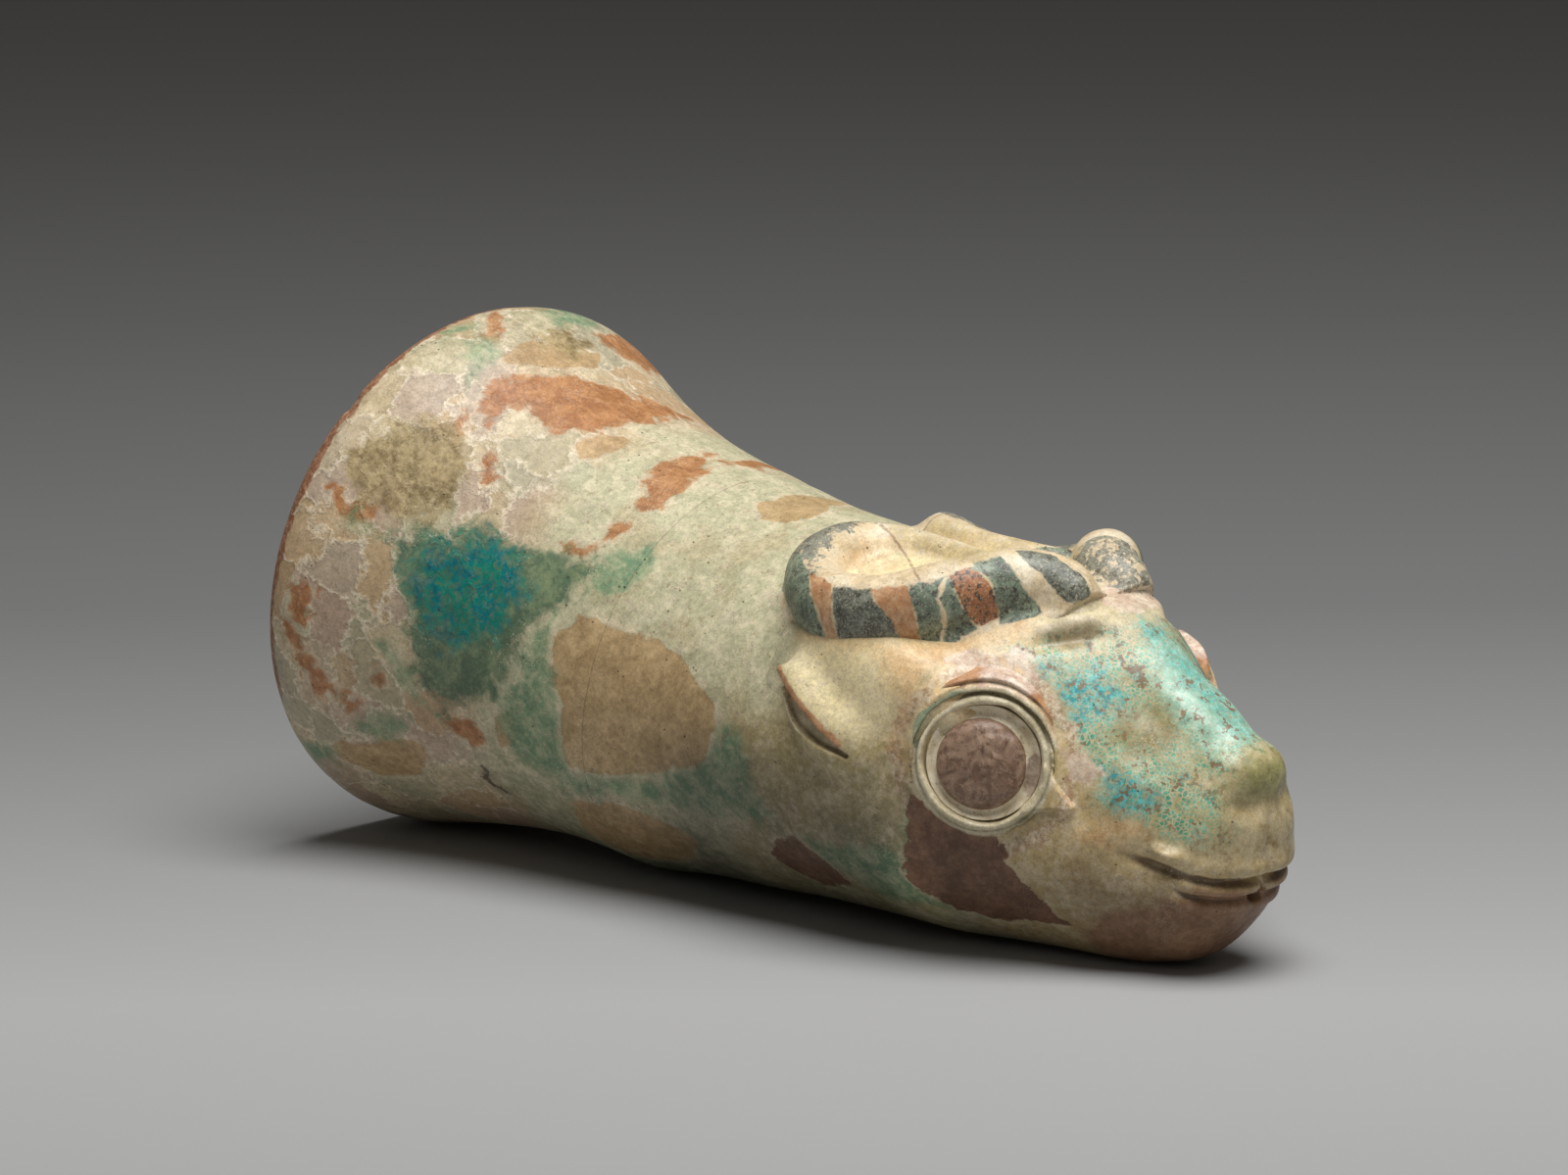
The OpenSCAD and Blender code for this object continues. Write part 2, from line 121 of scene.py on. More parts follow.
def join(a, b, k):
    """Smooth union of two distances, with a fillet of about k."""
    h = np.clip(0.5 + 0.5 * (b - a) / k, 0, 1)
    return b + (a - b) * h - k * h * (1 - h)


def carve(a, b, k):
    """Distance a with b cut out of it, its edge rounded by k."""
    return -join(-a, b, k)


# ---------------------------------------------------------------- shape tables, as in the CAD
def through(table, x):
    """Rows of a table joined by a smooth curve, at each x."""
    t = np.array(table, float)
    x = np.asarray(x, float)
    slope = np.empty_like(t)
    slope[0] = (t[1] - t[0]) / (t[1, 0] - t[0, 0])
    slope[-1] = (t[-1] - t[-2]) / (t[-1, 0] - t[-2, 0])
    slope[1:-1] = (t[2:] - t[:-2]) / (t[2:, 0] - t[:-2, 0])[:, None]
    i = np.clip(np.searchsorted(t[:, 0], x, side="right") - 1, 0, len(t) - 2)
    h = (t[i + 1, 0] - t[i, 0])[..., None]
    u = (x[..., None] - t[i, 0][..., None]) / h
    return (
        (2 * u**3 - 3 * u**2 + 1) * t[i]
        + (u**3 - 2 * u**2 + u) * h * slope[i]
        + (3 * u**2 - 2 * u**3) * t[i + 1]
        + (u**3 - u**2) * h * slope[i + 1]
    )


MOUTH_R, LIP_ROUND, CUP_LENGTH, NECK_R = 55.0, 1.8, 80.0, 41.2
CUP_WALL, HEAD_WALL = 5.0, 6.5
LIP_ROWS = [(0, 55), (7, 56.2), (14, 55), (26, 51.1), (52, 44.2), (80, 41.2)]


def jaw(x, lift):
    """Height at which the jaw stands lift above the floor."""
    return ((CUP_LENGTH + x) * SIN_T - AXIS_HEIGHT) / COS_T + lift


HEAD_ROWS = [
    (0, 41.2, -41.2, 41.2, 0, 2, 2),
    (16, 41.4, jaw(16, 0.6), 40.4, 1.5, 2, 2),
    (34, 42.1, jaw(34, 0.4), 40, 3.5, 2.05, 2),
    (52, 43.8, jaw(52, 0.4), 39.4, 5.5, 2.1, 2),
    (68, 46, jaw(68, 0.3), 39.5, 8, 2.15, 2.1),
    (82, 47.4, jaw(82, -0.4), 37, 10.5, 2, 2.2),
    (94, 47.8, jaw(94, -0.4), 32, 12, 1.75, 2.2),
    (104, 43.8, jaw(104, -0.4), 27, 11, 1.65, 2.2),
    (116, 38, jaw(116, -0.4), 22, 8, 1.6, 2.3),
    (126, 33, jaw(126, 0.3), 17, 7, 1.65, 2.4),
    (134, 29.5, jaw(134, 1), 14.5, 7, 1.9, 2.4),
    (140, 27, jaw(134, 4), 12, 7, 2.2, 2.2),
]
HEAD_LENGTH, MUZZLE_ROUND, MOUTH_HEIGHT = 140.0, 9.5, 7.0
EYE_CENTRE = np.array([172.1, 28.3, 17.6])
EYE_FORWARD, EYE_UP = math.radians(30), math.radians(13)
EYE_AXIS = np.array([
    math.cos(EYE_UP) * math.sin(EYE_FORWARD),
    math.cos(EYE_UP) * math.cos(EYE_FORWARD),
    math.sin(EYE_UP),
])


def head_skin(x, a, inset=0.0):
    """Skin of the head at distance x from the seam and angle a, as in the CAD."""
    r = through(HEAD_ROWS, x)
    u = np.clip((x - HEAD_LENGTH + MUZZLE_ROUND) / MUZZLE_ROUND, 0, 1)
    k = (1 - u**2.6) ** (1 / 2.6)
    c, s = np.cos(a), np.sin(a)
    top = s >= 0
    power = 2 / np.where(top, r[..., 5], r[..., 6])
    high = np.where(top, r[..., 1] - r[..., 4], r[..., 4] - r[..., 2]) - inset
    y = k * np.sign(c) * np.abs(c) ** power * (r[..., 3] - inset)
    w = MOUTH_HEIGHT + k * (r[..., 4] - MOUTH_HEIGHT + np.sign(s) * np.abs(s) ** power * high)
    back = 0.26 * np.maximum(0, MOUTH_HEIGHT - w) * smooth(x, 118, HEAD_LENGTH)
    return np.stack([CUP_LENGTH + x - back, y, w], -1)


# ---------------------------------------------------------------- meshes
def grid_normals(p):
    """Outward unit normals of a grid of points whose columns go round."""
    along = np.gradient(p, axis=0)
    around = np.roll(p, -1, 1) - np.roll(p, 1, 1)
    return normed(np.cross(around, along))


def ring_faces(rows, n):
    """Quads between rows of rings."""
    i, j = np.meshgrid(np.arange(rows - 1), np.arange(n), indexing="ij")
    k = (j + 1) % n
    return np.stack([i * n + j, i * n + k, (i + 1) * n + k, (i + 1) * n + j], -1).reshape(-1, 4)


def build(name, points, quads, tris=None):
    """A shaded mesh object from points of the cup's frame, in millimetres."""
    mesh = bpy.data.meshes.new(name + "_glazed")
    faces = [np.asarray(quads, np.int32)]
    sizes = [np.full(len(quads), 4, np.int32)]
    if tris is not None and len(tris):
        faces.append(np.asarray(tris, np.int32))
        sizes.append(np.full(len(tris), 3, np.int32))
    loops = np.concatenate([f.ravel() for f in faces])
    sizes = np.concatenate(sizes)
    world = place(np.asarray(points, float))
    mesh.vertices.add(len(world))
    mesh.vertices.foreach_set("co", world.astype(np.float32).ravel())
    mesh.loops.add(len(loops))
    mesh.loops.foreach_set("vertex_index", loops)
    mesh.polygons.add(len(sizes))
    mesh.polygons.foreach_set("loop_start", np.concatenate([[0], np.cumsum(sizes)[:-1]]).astype(np.int32))
    mesh.polygons.foreach_set("loop_total", sizes)
    mesh.update(calc_edges=True)
    mesh.validate()
    mesh.polygons.foreach_set("use_smooth", np.ones(len(mesh.polygons), bool))
    obj = bpy.data.objects.new(name + "_glazed", mesh)
    bpy.context.scene.collection.objects.link(obj)
    return obj


def paint(obj, name, values):
    """Store a field on the points of a piece: one value for each point, or one for all."""
    layer = obj.data.attributes.new(name, "FLOAT", "POINT")
    layer.data.foreach_set("value", np.full(len(layer.data), values, np.float32))


def closed_loft(grid):
    """A closed mesh from rows of rings; the first and last ring are closed by a point."""
    rows, n = grid.shape[:2]
    points = np.concatenate([grid.reshape(-1, 3), grid[0].mean(0)[None], grid[-1].mean(0)[None]])
    j = np.arange(n)
    k = (j + 1) % n
    first, last = rows * n, rows * n + 1
    tris = np.concatenate([
        np.stack([np.full(n, first), k, j], -1),
        np.stack([np.full(n, last), (rows - 1) * n + j, (rows - 1) * n + k], -1),
    ])
    return points, ring_faces(rows, n), tris


def surface_net(field, low, step):
    """Points and quads of the surface where a sampled field is zero, inside where it is negative."""
    field = field.copy()
    for axis in range(3):
        for end in (0, -1):
            wall = np.moveaxis(field, axis, 0)
            wall[end] = np.maximum(wall[end], 1e-3)
    inside = field < 0
    corner = np.stack([inside[a:inside.shape[0] - 1 + a, b:inside.shape[1] - 1 + b, c:inside.shape[2] - 1 + c]
                       for a in (0, 1) for b in (0, 1) for c in (0, 1)])
    mixed = corner.any(0) & ~corner.all(0)
    number = np.full(mixed.shape, -1, np.int64)
    cells = np.argwhere(mixed)
    number[mixed] = np.arange(len(cells))
    total = np.zeros((len(cells), 3))
    count = np.zeros(len(cells))
    for axis in range(3):
        others = [k for k in range(3) if k != axis]
        for p in (0, 1):
            for q in (0, 1):
                a = np.zeros(3, int)
                a[others[0]], a[others[1]] = p, q
                b = a.copy()
                b[axis] = 1
                ca, cb = cells + a, cells + b
                va = field[ca[:, 0], ca[:, 1], ca[:, 2]]
                vb = field[cb[:, 0], cb[:, 1], cb[:, 2]]
                cross = (va < 0) != (vb < 0)
                t = np.where(cross, va / np.where(cross, va - vb, 1), 0)
                total[cross] += (a + t[:, None] * (b - a))[cross]
                count[cross] += 1
    points = low + step * (cells + total / count[:, None])
    quads = []
    for axis in range(3):
        u, v = [(1, 2), (2, 0), (0, 1)][axis]
        n = list(inside.shape)
        sl = [slice(1, n[0] - 1), slice(1, n[1] - 1), slice(1, n[2] - 1)]
        sl[axis] = slice(0, n[axis] - 1)
        nxt = list(sl)
        nxt[axis] = slice(1, n[axis])
        a, b = inside[tuple(sl)], inside[tuple(nxt)]
        for flip, where in ((False, a & ~b), (True, ~a & b)):
            e = np.argwhere(where)
            off = np.ones(3, int)
            off[axis] = 0
            e = e + off
            du, dv = np.zeros(3, int), np.zeros(3, int)
            du[u], dv[v] = 1, 1
            c = [e - du - dv, e - dv, e, e - du]
            ids = np.stack([number[x[:, 0], x[:, 1], x[:, 2]] for x in c], -1)
            quads.append(ids[:, ::-1] if flip else ids)
    quads = np.concatenate(quads)
    return largest_part(points, quads[(quads >= 0).all(1)])


def largest_part(points, quads):
    """The largest connected part of a mesh, without loose bits."""
    mark = np.arange(len(points))
    while True:
        low = mark[quads].min(1)
        new = mark.copy()
        np.minimum.at(new, quads.ravel(), np.repeat(low, 4))
        new = new[new]
        if (new == mark).all():
            break
        mark = new
    main = np.bincount(mark[quads[:, 0]]).argmax()
    kept = mark[quads[:, 0]] == main
    quads = quads[kept]
    used, inverse = np.unique(quads, return_inverse=True)
    return points[used], inverse.reshape(quads.shape)


# ---------------------------------------------------------------- uneven skin of cup and head
def polar(p):
    """Distance along the axis and angle in degrees, 0 at the animal's right and 90 on top."""
    return p[..., 0], np.degrees(np.arctan2(p[..., 2], -p[..., 1]))


def near_line(p, line):
    """Distance of points to a run of straight pieces, and how far along it they lie, from 0 to 1."""
    line = np.array(line, float)
    best = np.full(p.shape[:-1], 1e9)
    at = np.zeros(p.shape[:-1])
    for k in range(len(line) - 1):
        a, b = line[k], line[k + 1]
        t = np.clip((p - a) @ (b - a) / ((b - a) @ (b - a)), 0, 1)
        d = np.linalg.norm(p - a - t[..., None] * (b - a), axis=-1)
        at = np.where(d < best, (k + t) / (len(line) - 1), at)
        best = np.minimum(best, d)
    return best, at


def mirrored(p):
    """The same points, all brought to the animal's right."""
    q = np.array(p, float)
    q[..., 1] = -np.abs(q[..., 1])
    return q


MOUTH_LINE = [(194.5, -22.7, 8), (199.1, -19.9, 7.4), (203.7, -17.1, 6.8), (209.1, -14.9, 6.2),
              (214, -12.8, 6.1),
              (217.7, -8.6, 6), (219.4, -3.3, 6), (220.2, 0, 6)]
SECOND_LINE = [(208.5, -15.6, 3.6), (212, -13.8, 2.6), (215.1, -11.6, 2.1), (218, -5.8, 2), (219, 0, 2.2)]
BROW_LINE = [(171.5, -20.5, 38.6), (174, -17.6, 40.4), (177, -13.6, 41.8), (180, -9.4, 42.6)]
BEHIND_EYE = [(156, -34, 28), (157, -37, 22), (158, -38, 14), (158.5, -38, 5), (160, -36, -4)]


# Lumps and dimples of the face: height, centre and reach
FACE_BLOBS = [
    (2.3, (207.6, -15.6, 9.5), (3.0, 2.6, 1.3)),
    (1.2, (177, -11, 44.5), (7, 5, 2.2)),
    (-1.5, (194, -11.5, 32.8), (7.5, 5, 6)),
    (-0.9, (196, -15.5, 26), (5, 4, 4)),
    (0.9, (203, -4.5, 33), (11, 3.6, 4)),
    (0.9, (210.5, -7.2, 27.4), (3.4, 3.2, 2.8)),
    (1.0, (215, -3, 26.4), (4.5, 6.5, 3.4)),
    (-1.9, (217.6, -5.5, 20.6), (4, 4.6, 2.6)),
    (-0.7, (219.6, 0, 16), (4, 1.3, 8)),
    (-0.3, (162, -32, 31.5), (8, 5, 4)),
    (0.8, (192, -23, 0), (12, 8, 8)),
    (-0.7, (196, -22, 13), (8, 6, 4)),
    (-0.6, (178, -33, 1), (9, 7, 6)),
    (0.7, (183, -1, 44.5), (7, 7, 4)),
    (-0.8, (171, 0, 48), (5, 5, 4)),
]


def face_relief(p):
    """Height of the modelling on the head, in millimetres outward."""
    q = mirrored(p)
    rise = 2.2 * np.exp(-np.sum((q * [1, -1, 1] - EYE_CENTRE) ** 2, -1) / 400)
    d, t = near_line(q, MOUTH_LINE)
    rise -= 2.0 * np.exp(-((d / 0.95) ** 2)) * smooth(t, 0.1, 0.4)
    rise -= 0.9 * np.exp(-((d / 3.2) ** 2)) * smooth(t, 0, 0.2) * (1 - smooth(t, 0.3, 0.75))
    d, t = near_line(q - [0, 0, 2.6], MOUTH_LINE)
    rise += 0.7 * np.exp(-((d / 1.9) ** 2)) * smooth(t, 0.3, 0.6)
    d, t = near_line(q, SECOND_LINE)
    rise -= 1.0 * np.exp(-((d / 0.75) ** 2)) * smooth(t, 0, 0.2)
    rise += 0.6 * np.exp(-((d - 2.1) / 1.2) ** 2) * smooth(t, 0, 0.2)
    d, t = near_line(q, BROW_LINE)
    rise -= 1.35 * np.exp(-((d / 1.7) ** 2)) * np.sin(math.pi * np.clip(t, 0.02, 0.98)) ** 0.5
    d, t = near_line(q, BEHIND_EYE)
    rise -= 0.7 * np.exp(-((d / 4.2) ** 2))
    for height, centre, reach in FACE_BLOBS:
        rise += height * blob(q, centre, reach)
    return rise


def skin_relief(p):
    """Unevenness of the thrown and fired clay, in millimetres outward."""
    s, angle = polar(p)
    rise = 0.6 * np.exp(-(((s - 80) / 11) ** 2))
    rise += 0.3 * noise(p, 34, 1) + 0.16 * noise(p, 15, 2) + 0.07 * fractal(p, 5, 3, 3)
    rise += 0.02 * np.sin(s * 1.9 + 0.05 * angle) * np.exp(-((s - 30) / 40) ** 2)
    rise += 1.5 * np.exp(-(((s - 16) / 13) ** 2)) * np.exp(-(((angle - 104) / 30) ** 2))
    return rise


def steady_normals(p, s):
    """Normals of a grid, turned square to the axis near the seam so that cup and head meet."""
    n = grid_normals(p)
    out = normed(p * [0, 1, 1])
    share = np.exp(-(((s - CUP_LENGTH) / 4) ** 2))[..., None]
    return normed(n * (1 - share) + out * share)


def cup_shape():
    """The thrown cup: its outside, spigot and inside, as one closed ring of rows."""
    n = 420
    a = np.linspace(0, 2 * math.pi, n, endpoint=False)
    edge = np.radians(np.linspace(0, 90, 8))
    outer = [(LIP_ROUND - LIP_ROUND * math.cos(t), MOUTH_R - LIP_ROUND + LIP_ROUND
              * math.sin(t)) for t in edge]
    stops = np.concatenate([np.linspace(2.2, 79.6, 180), [79.9, 80]])
    outer += list(zip(stops, through(LIP_ROWS, stops)[:, 1]))
    seam = NECK_R - HEAD_WALL / 2 + 0.5
    joint = [(80, NECK_R - 0.1), (80, seam + 0.1), (80.1, seam), (88, seam), (88, NECK_R - HEAD_WALL)]
    back = np.linspace(79.5, 2.4, 90)
    share = back / CUP_LENGTH
    wall = CUP_WALL + share * (HEAD_WALL - CUP_WALL) - 0.6 * (1 - share)
    inner = list(zip(back, through(LIP_ROWS, back)[:, 1] - wall))
    inside = MOUTH_R - CUP_WALL + 0.6
    inner += [(LIP_ROUND - LIP_ROUND * math.sin(t), inside + LIP_ROUND - LIP_ROUND
               * math.cos(t)) for t in edge]
    prof = np.array(outer + joint + inner)
    s = np.repeat(prof[:, :1], n, 1)
    grid = np.stack([s, prof[:, 1:] * np.cos(a), prof[:, 1:] * np.sin(a)], -1)
    first = len(outer)
    skin = grid[:first]
    nrm = steady_normals(skin, s[:first])
    rise = skin_relief(skin)
    chip = smooth(fractal(skin, 7, 2, 5), 0.25, 0.6) * np.exp(-(((skin[..., 0] - 1) / 2.2) ** 2))
    grid[:first] = skin + nrm * (rise - 0.5 * chip)[..., None]
    back_rows = slice(first + len(joint), None)
    hollow = grid[back_rows]
    out = normed(hollow * [0, 1, 1])
    turn = 0.16 * np.sin(hollow[..., 0] * 0.9) + 0.3 * noise(hollow, 20, 3)
    edge_share = smooth(hollow[..., 0], 0, 5)
    lip = skin_relief(hollow) * (1 - edge_share)
    grid[back_rows] = hollow + out * (turn * edge_share + lip)[..., None]
    return grid.reshape(-1, 3), ring_faces(len(grid) + 1, n) % (len(grid) * n)


EYE_X = np.array([math.cos(EYE_FORWARD), -math.sin(EYE_FORWARD), 0.0])
EYE_Y = np.cross(EYE_X, EYE_AXIS)


def to_eye(p):
    """Points of the animal's left in the frame of its eye: x to the muzzle, y up, z out."""
    v = p - EYE_CENTRE
    return np.stack([v @ EYE_X, v @ EYE_Y, v @ EYE_AXIS], -1)


def from_eye(q):
    """Back from the frame of the eye."""
    return EYE_CENTRE + q[..., :1] * EYE_X + q[..., 1:2] * EYE_Y + q[..., 2:] * EYE_AXIS


def outer_skin(x, a):
    """The modelled outside of the head, on a grid."""
    x, a = np.meshgrid(x, a, indexing="ij")
    skin = head_skin(x, a)
    skin[:, :, 0] = np.maximum(skin[:, :, 0], CUP_LENGTH)
    nrm = steady_normals(skin, skin[..., 0])
    skin = skin + nrm * (skin_relief(skin) + face_relief(skin) * smooth(x, 0, 12))[..., None]
    q = mirrored(skin) * [1, -1, 1]
    e = to_eye(q)
    r = np.hypot(e[..., 0], e[..., 1])
    ceiling = 1.5 + 30 * smooth(r, 12.2, 15.5) ** 2
    e[..., 2] = np.where((r < 16) & (e[..., 2] > ceiling) & (e[..., 2] < 15), ceiling, e[..., 2])
    sunk = from_eye(e)
    sunk[..., 1] *= np.sign(skin[..., 1])
    return np.where((r < 15.5)[..., None], sunk, skin)


MUZZLE_TURNS = np.radians(np.linspace(2, 89, 46))
HEAD_STOPS = np.concatenate([np.linspace(0, 130, 300), 130.5 + MUZZLE_ROUND * np.sin(MUZZLE_TURNS)])
HEAD_TURNS = np.linspace(0, 2 * math.pi, 440, endpoint=False)
SKIN = outer_skin(HEAD_STOPS, HEAD_TURNS)
HOLLOW_ROWS = 70


def head_shape():
    """The hollow head, from the end of its hollow back to the seam and out along the skin."""
    skin = SKIN.copy()
    spout = np.hypot(skin[..., 1], skin[..., 2] - 2.5)
    front = skin[..., 0] > 212
    skin[..., 0] -= np.where(front, 6 * (1 - smooth(spout, 0.9, 1.9)), 0)
    a = HEAD_TURNS
    ring = np.stack([np.zeros_like(a), np.cos(a), np.sin(a)], -1)
    socket = NECK_R - HEAD_WALL / 2 + 0.75
    rim = [ring * socket + [s, 0, 0] for s in (88.25, 80.1)]
    rim += [ring * (socket + 0.1) + [80, 0, 0], ring * (NECK_R - 0.1) + [80, 0, 0]]
    stops = np.linspace(118, 8.3, HOLLOW_ROWS)
    x, aa = np.meshgrid(stops, a, indexing="ij")
    hollow = head_skin(x, aa, HEAD_WALL)
    k = (1 - 0.5 * smooth(x, 96, 118))[..., None]
    hollow[..., 1:] = [0, MOUTH_HEIGHT] + (hollow[..., 1:] - [0, MOUTH_HEIGHT]) * k
    hollow[..., 0] = CUP_LENGTH + x
    grid = np.concatenate([hollow, np.array(rim), skin])
    return closed_loft(grid)


# ---------------------------------------------------------------- distance to the head's skin
CENTRE = 3.0
STEP_S, STEP_T = 0.5, math.radians(0.75)
GRID_S = np.arange(80, 221, STEP_S)
GRID_T = np.radians(np.arange(0, 360, 0.75))


def radius_table():
    """Radius of the head's skin round the line w = CENTRE, by distance and angle."""
    table = np.zeros((len(GRID_S), len(GRID_T)))
    y, w = SKIN[..., 1], SKIN[..., 2] - CENTRE
    t = np.arctan2(w, y) % (2 * math.pi)
    rho = np.hypot(y, w)
    rows = np.zeros((len(SKIN), len(GRID_T)))
    for i in range(len(SKIN)):
        order = np.argsort(t[i])
        rows[i] = np.interp(GRID_T, t[i][order], rho[i][order], period=2 * math.pi)
    s = SKIN[..., 0].mean(1)
    for j in range(len(GRID_T)):
        table[:, j] = np.interp(GRID_S, s, rows[:, j])
    return table


RADII = radius_table()
SLOPE_S = np.gradient(RADII, STEP_S, axis=0)
SLOPE_T = (np.roll(RADII, -1, 1) - np.roll(RADII, 1, 1)) / (2 * STEP_T)


def look_up(table, s, t):
    """Value of a table at distance s and angle t, between its entries."""
    i = np.clip((s - GRID_S[0]) / STEP_S, 0, len(GRID_S) - 1.001)
    j = (t % (2 * math.pi)) / STEP_T
    i0, j0 = i.astype(int), j.astype(int) % len(GRID_T)
    fi, fj = i - i0, j - np.floor(j)
    j1 = (j0 + 1) % len(GRID_T)
    return (table[i0, j0] * (1 - fi) * (1 - fj) + table[i0 + 1, j0] * fi * (1 - fj)
            + table[i0, j1] * (1 - fi) * fj + table[i0 + 1, j1] * fi * fj)


def head_distance(p):
    """Distance of points to the modelled skin of the head, negative inside."""
    w = p[..., 2] - CENTRE
    t, rho = np.arctan2(w, p[..., 1]), np.hypot(p[..., 1], w)
    r = look_up(RADII, p[..., 0], t)
    steep = look_up(SLOPE_S, p[..., 0], t) ** 2 + (look_up(SLOPE_T, p[..., 0], t) / r) ** 2
    return (rho - r) / np.sqrt(1 + np.minimum(steep, 9))


# ---------------------------------------------------------------- modelled pieces as distance fields
def box_grid(low, high, step):
    """Points of a grid that fills a box, and its corner."""
    low = np.array(low, float)
    n = np.ceil((np.array(high, float) - low) / step).astype(int) + 1
    axes = [low[k] + step * np.arange(n[k]) for k in range(3)]
    return np.stack(np.meshgrid(*axes, indexing="ij"), -1), low


HORN_ROUTE = [
    (0, 4, 7.6, -1.6, 0.5, 0.5), (1, 2.4, 7.8, -0.8, 0.8, 0.8), (2, -1.2, 8.6, -0.4, 0.9, 0.88),
    (3, -5.5, 13, -0.6, 0.98, 0.95), (4, -10, 19.7, -3.2, 1, 1.04), (5, -16, 26.3, -6.8, 1.03, 1.1),
    (6, -24, 30.6, -10.6, 1.0, 1.12), (7, -33, 31.6, -12.6, 0.96, 1.08), (8, -41.5, 28.5, -11.9, 0.9, 1.0),
    (9, -46.8, 22.2, -9.3, 0.84, 0.89), (10, -47, 14.5, -6.9, 0.77, 0.76), (11, -42.5, 8.8, -5.2, 0.64, 0.6),
    (12, -35.5, 6.6, -4, 0.54, 0.5), (13, -27, 6.2, -3.2, 0.46, 0.44), (14, -19, 7.6, -2, 0.38, 0.36),
    (15, -13, 10, -1, 0.25, 0.25),
]
HORN_LEAN = np.array([0, 0.42, 0.907])
HORN_HALF = (7.0, 7.4)
HORN_END = 15
HORN_STEP, EAR_STEP, EYE_STEP = 0.42, 0.38, 0.26  # grids of the fields, in millimetres


def roll_field(p, middle, ahead, half):
    """Distance to a horn's roll, the place along its route and the angle round it."""
    shape = p.shape[:-1]
    q = p.reshape(-1, 3)
    out = normed(np.cross(HORN_LEAN, ahead))
    up = np.cross(ahead, out)
    dist = np.empty(len(q))
    place_at = np.empty(len(q))
    turn = np.empty(len(q))
    stride = 10
    reach = half[:, 0] * half[:, 1] * 0.5
    window = np.arange(-stride, stride + 1)
    for k in range(0, len(q), 20000):
        c = q[k:k + 20000]
        rough = ((c[:, None] - middle[None, ::stride]) ** 2).sum(-1) - reach[::stride]
        near = np.clip(rough.argmin(1)[:, None] * stride + window, 0, len(middle) - 1)
        d2 = ((c[:, None] - middle[near]) ** 2).sum(-1) - reach[near]
        i = near[np.arange(len(c)), d2.argmin(1)]
        v = c - middle[i]
        u = np.stack([(v * out[i]).sum(1), (v * up[i]).sum(1), (v * ahead[i]).sum(1)], -1)
        last = (i == 0) | (i == len(middle) - 1)
        r = np.stack([half[i, 0], half[i, 1], np.where(last, half[i, 0], 1e3)], -1)
        k0 = np.linalg.norm(u / r, axis=1)
        k1 = np.linalg.norm(u / r**2, axis=1)
        dist[k:k + 20000] = k0 * (k0 - 1) / np.maximum(k1, 1e-6)
        place_at[k:k + 20000] = i / (len(middle) - 1) * HORN_END
        turn[k:k + 20000] = np.degrees(np.arctan2(u[:, 1], u[:, 0]))
    return dist.reshape(shape), place_at.reshape(shape), turn.reshape(shape)


def horn_route(side):
    """Middle, direction and half widths of the roll; the left loop hangs lower."""
    t = np.linspace(0, HORN_END, 260)
    r = through(HORN_ROUTE, t)
    sag = 4.6 * np.exp(-(((t - 8) / 2) ** 2)) if side > 0 else 0
    middle = np.stack([166 + r[:, 1], r[:, 2], 47.8 + r[:, 3] - sag], -1)
    ahead = normed(np.gradient(middle, axis=0))
    half = np.stack([r[:, 4] * HORN_HALF[0], r[:, 5] * HORN_HALF[1]], -1)
    return middle, ahead, half


def horn_shape(side):
    """A curled horn, and the distance, place and angle of each of its points."""
    middle, ahead, half = horn_route(side)
    p, low = box_grid((112, -2, 24), (178, 44, 60), HORN_STEP)
    q = p * [1, side, 1]
    d = roll_field(p, middle, ahead, half)[0]
    lumps = 0.35 * noise(q, 9, 1) + 0.14 * noise(q, 3.5, 2)
    d = d - lumps * 0.8
    # the dished floor hangs from the top of the loop
    loop = slice(70, 240)
    ring = middle[loop] + HORN_LEAN * (half[loop, 1] - 1.6)[:, None]
    flat = ring[:, :2]
    x, y = p[:, :, :1, 0], p[:, :, :1, 1]
    inside = np.zeros(x.shape, bool)
    edge = np.full(x.shape, 1e9)
    top, weight = np.zeros(x.shape), np.zeros(x.shape)
    n = len(flat)
    for k in range(n):
        a, b = flat[k], flat[(k + 1) % n]
        inside ^= ((a[1] > y) != (b[1] > y)) & (x < (b[0] - a[0]) * (y - a[1]) / (b[1] - a[1] + 1e-12) + a[0])
        away = np.hypot(x - a[0], y - a[1])
        edge = np.minimum(edge, away)
        share = 1 / (1 + away**2) ** 1.5
        top += share * ring[k][2]
        weight += share
    top /= weight
    hollow = 3.0 * smooth(edge, 0.5, 7)
    slab = p[..., 2] - (top - 1.2 - hollow + 0.25 * lumps)
    dish = np.maximum(slab, np.where(inside, -1, 1) * edge)
    d = join(d, dish, 1.6)
    crease = near_line(p, [(133, 21, 38.5), (129.5, 14.5, 42), (132, 10, 43.2)])[0]
    d = d + 0.35 * np.exp(-((crease / 0.7) ** 2))
    head = head_distance(q)
    offset = 0.12 - 0.5 * smooth(d, 1.4, 3.6)
    body = join(d, head - offset, 3.0)
    body = np.maximum(body, d - 4.2)
    body = np.maximum(body, -(head + 1.3))
    points, quads = surface_net(body, low, HORN_STEP)
    return points, quads, roll_field(points, middle, ahead, half)


EAR_ROUTE = [
    (0, 0, 0.8, 22.8, 0.1, 0.08), (1, 0.14, 0.5, 20.6, 0.6, 0.6), (2, 0.31, 0.2, 17.9, 0.95, 0.92),
    (3, 0.5, -0.1, 15.3, 1, 0.95), (4, 0.7, -0.4, 13.6, 0.88, 0.85), (5, 0.86, -0.6, 12.8, 0.6, 0.6),
    (6, 1, -0.6, 12.4, 0.15, 0.15),
]
EAR_SLIT = [(128.4, -43, 22.2), (131.5, -43, 19.4), (136, -43.5, 16.6), (141.5, -43, 14.4),
            (148.5, -41.5, 12.6)]


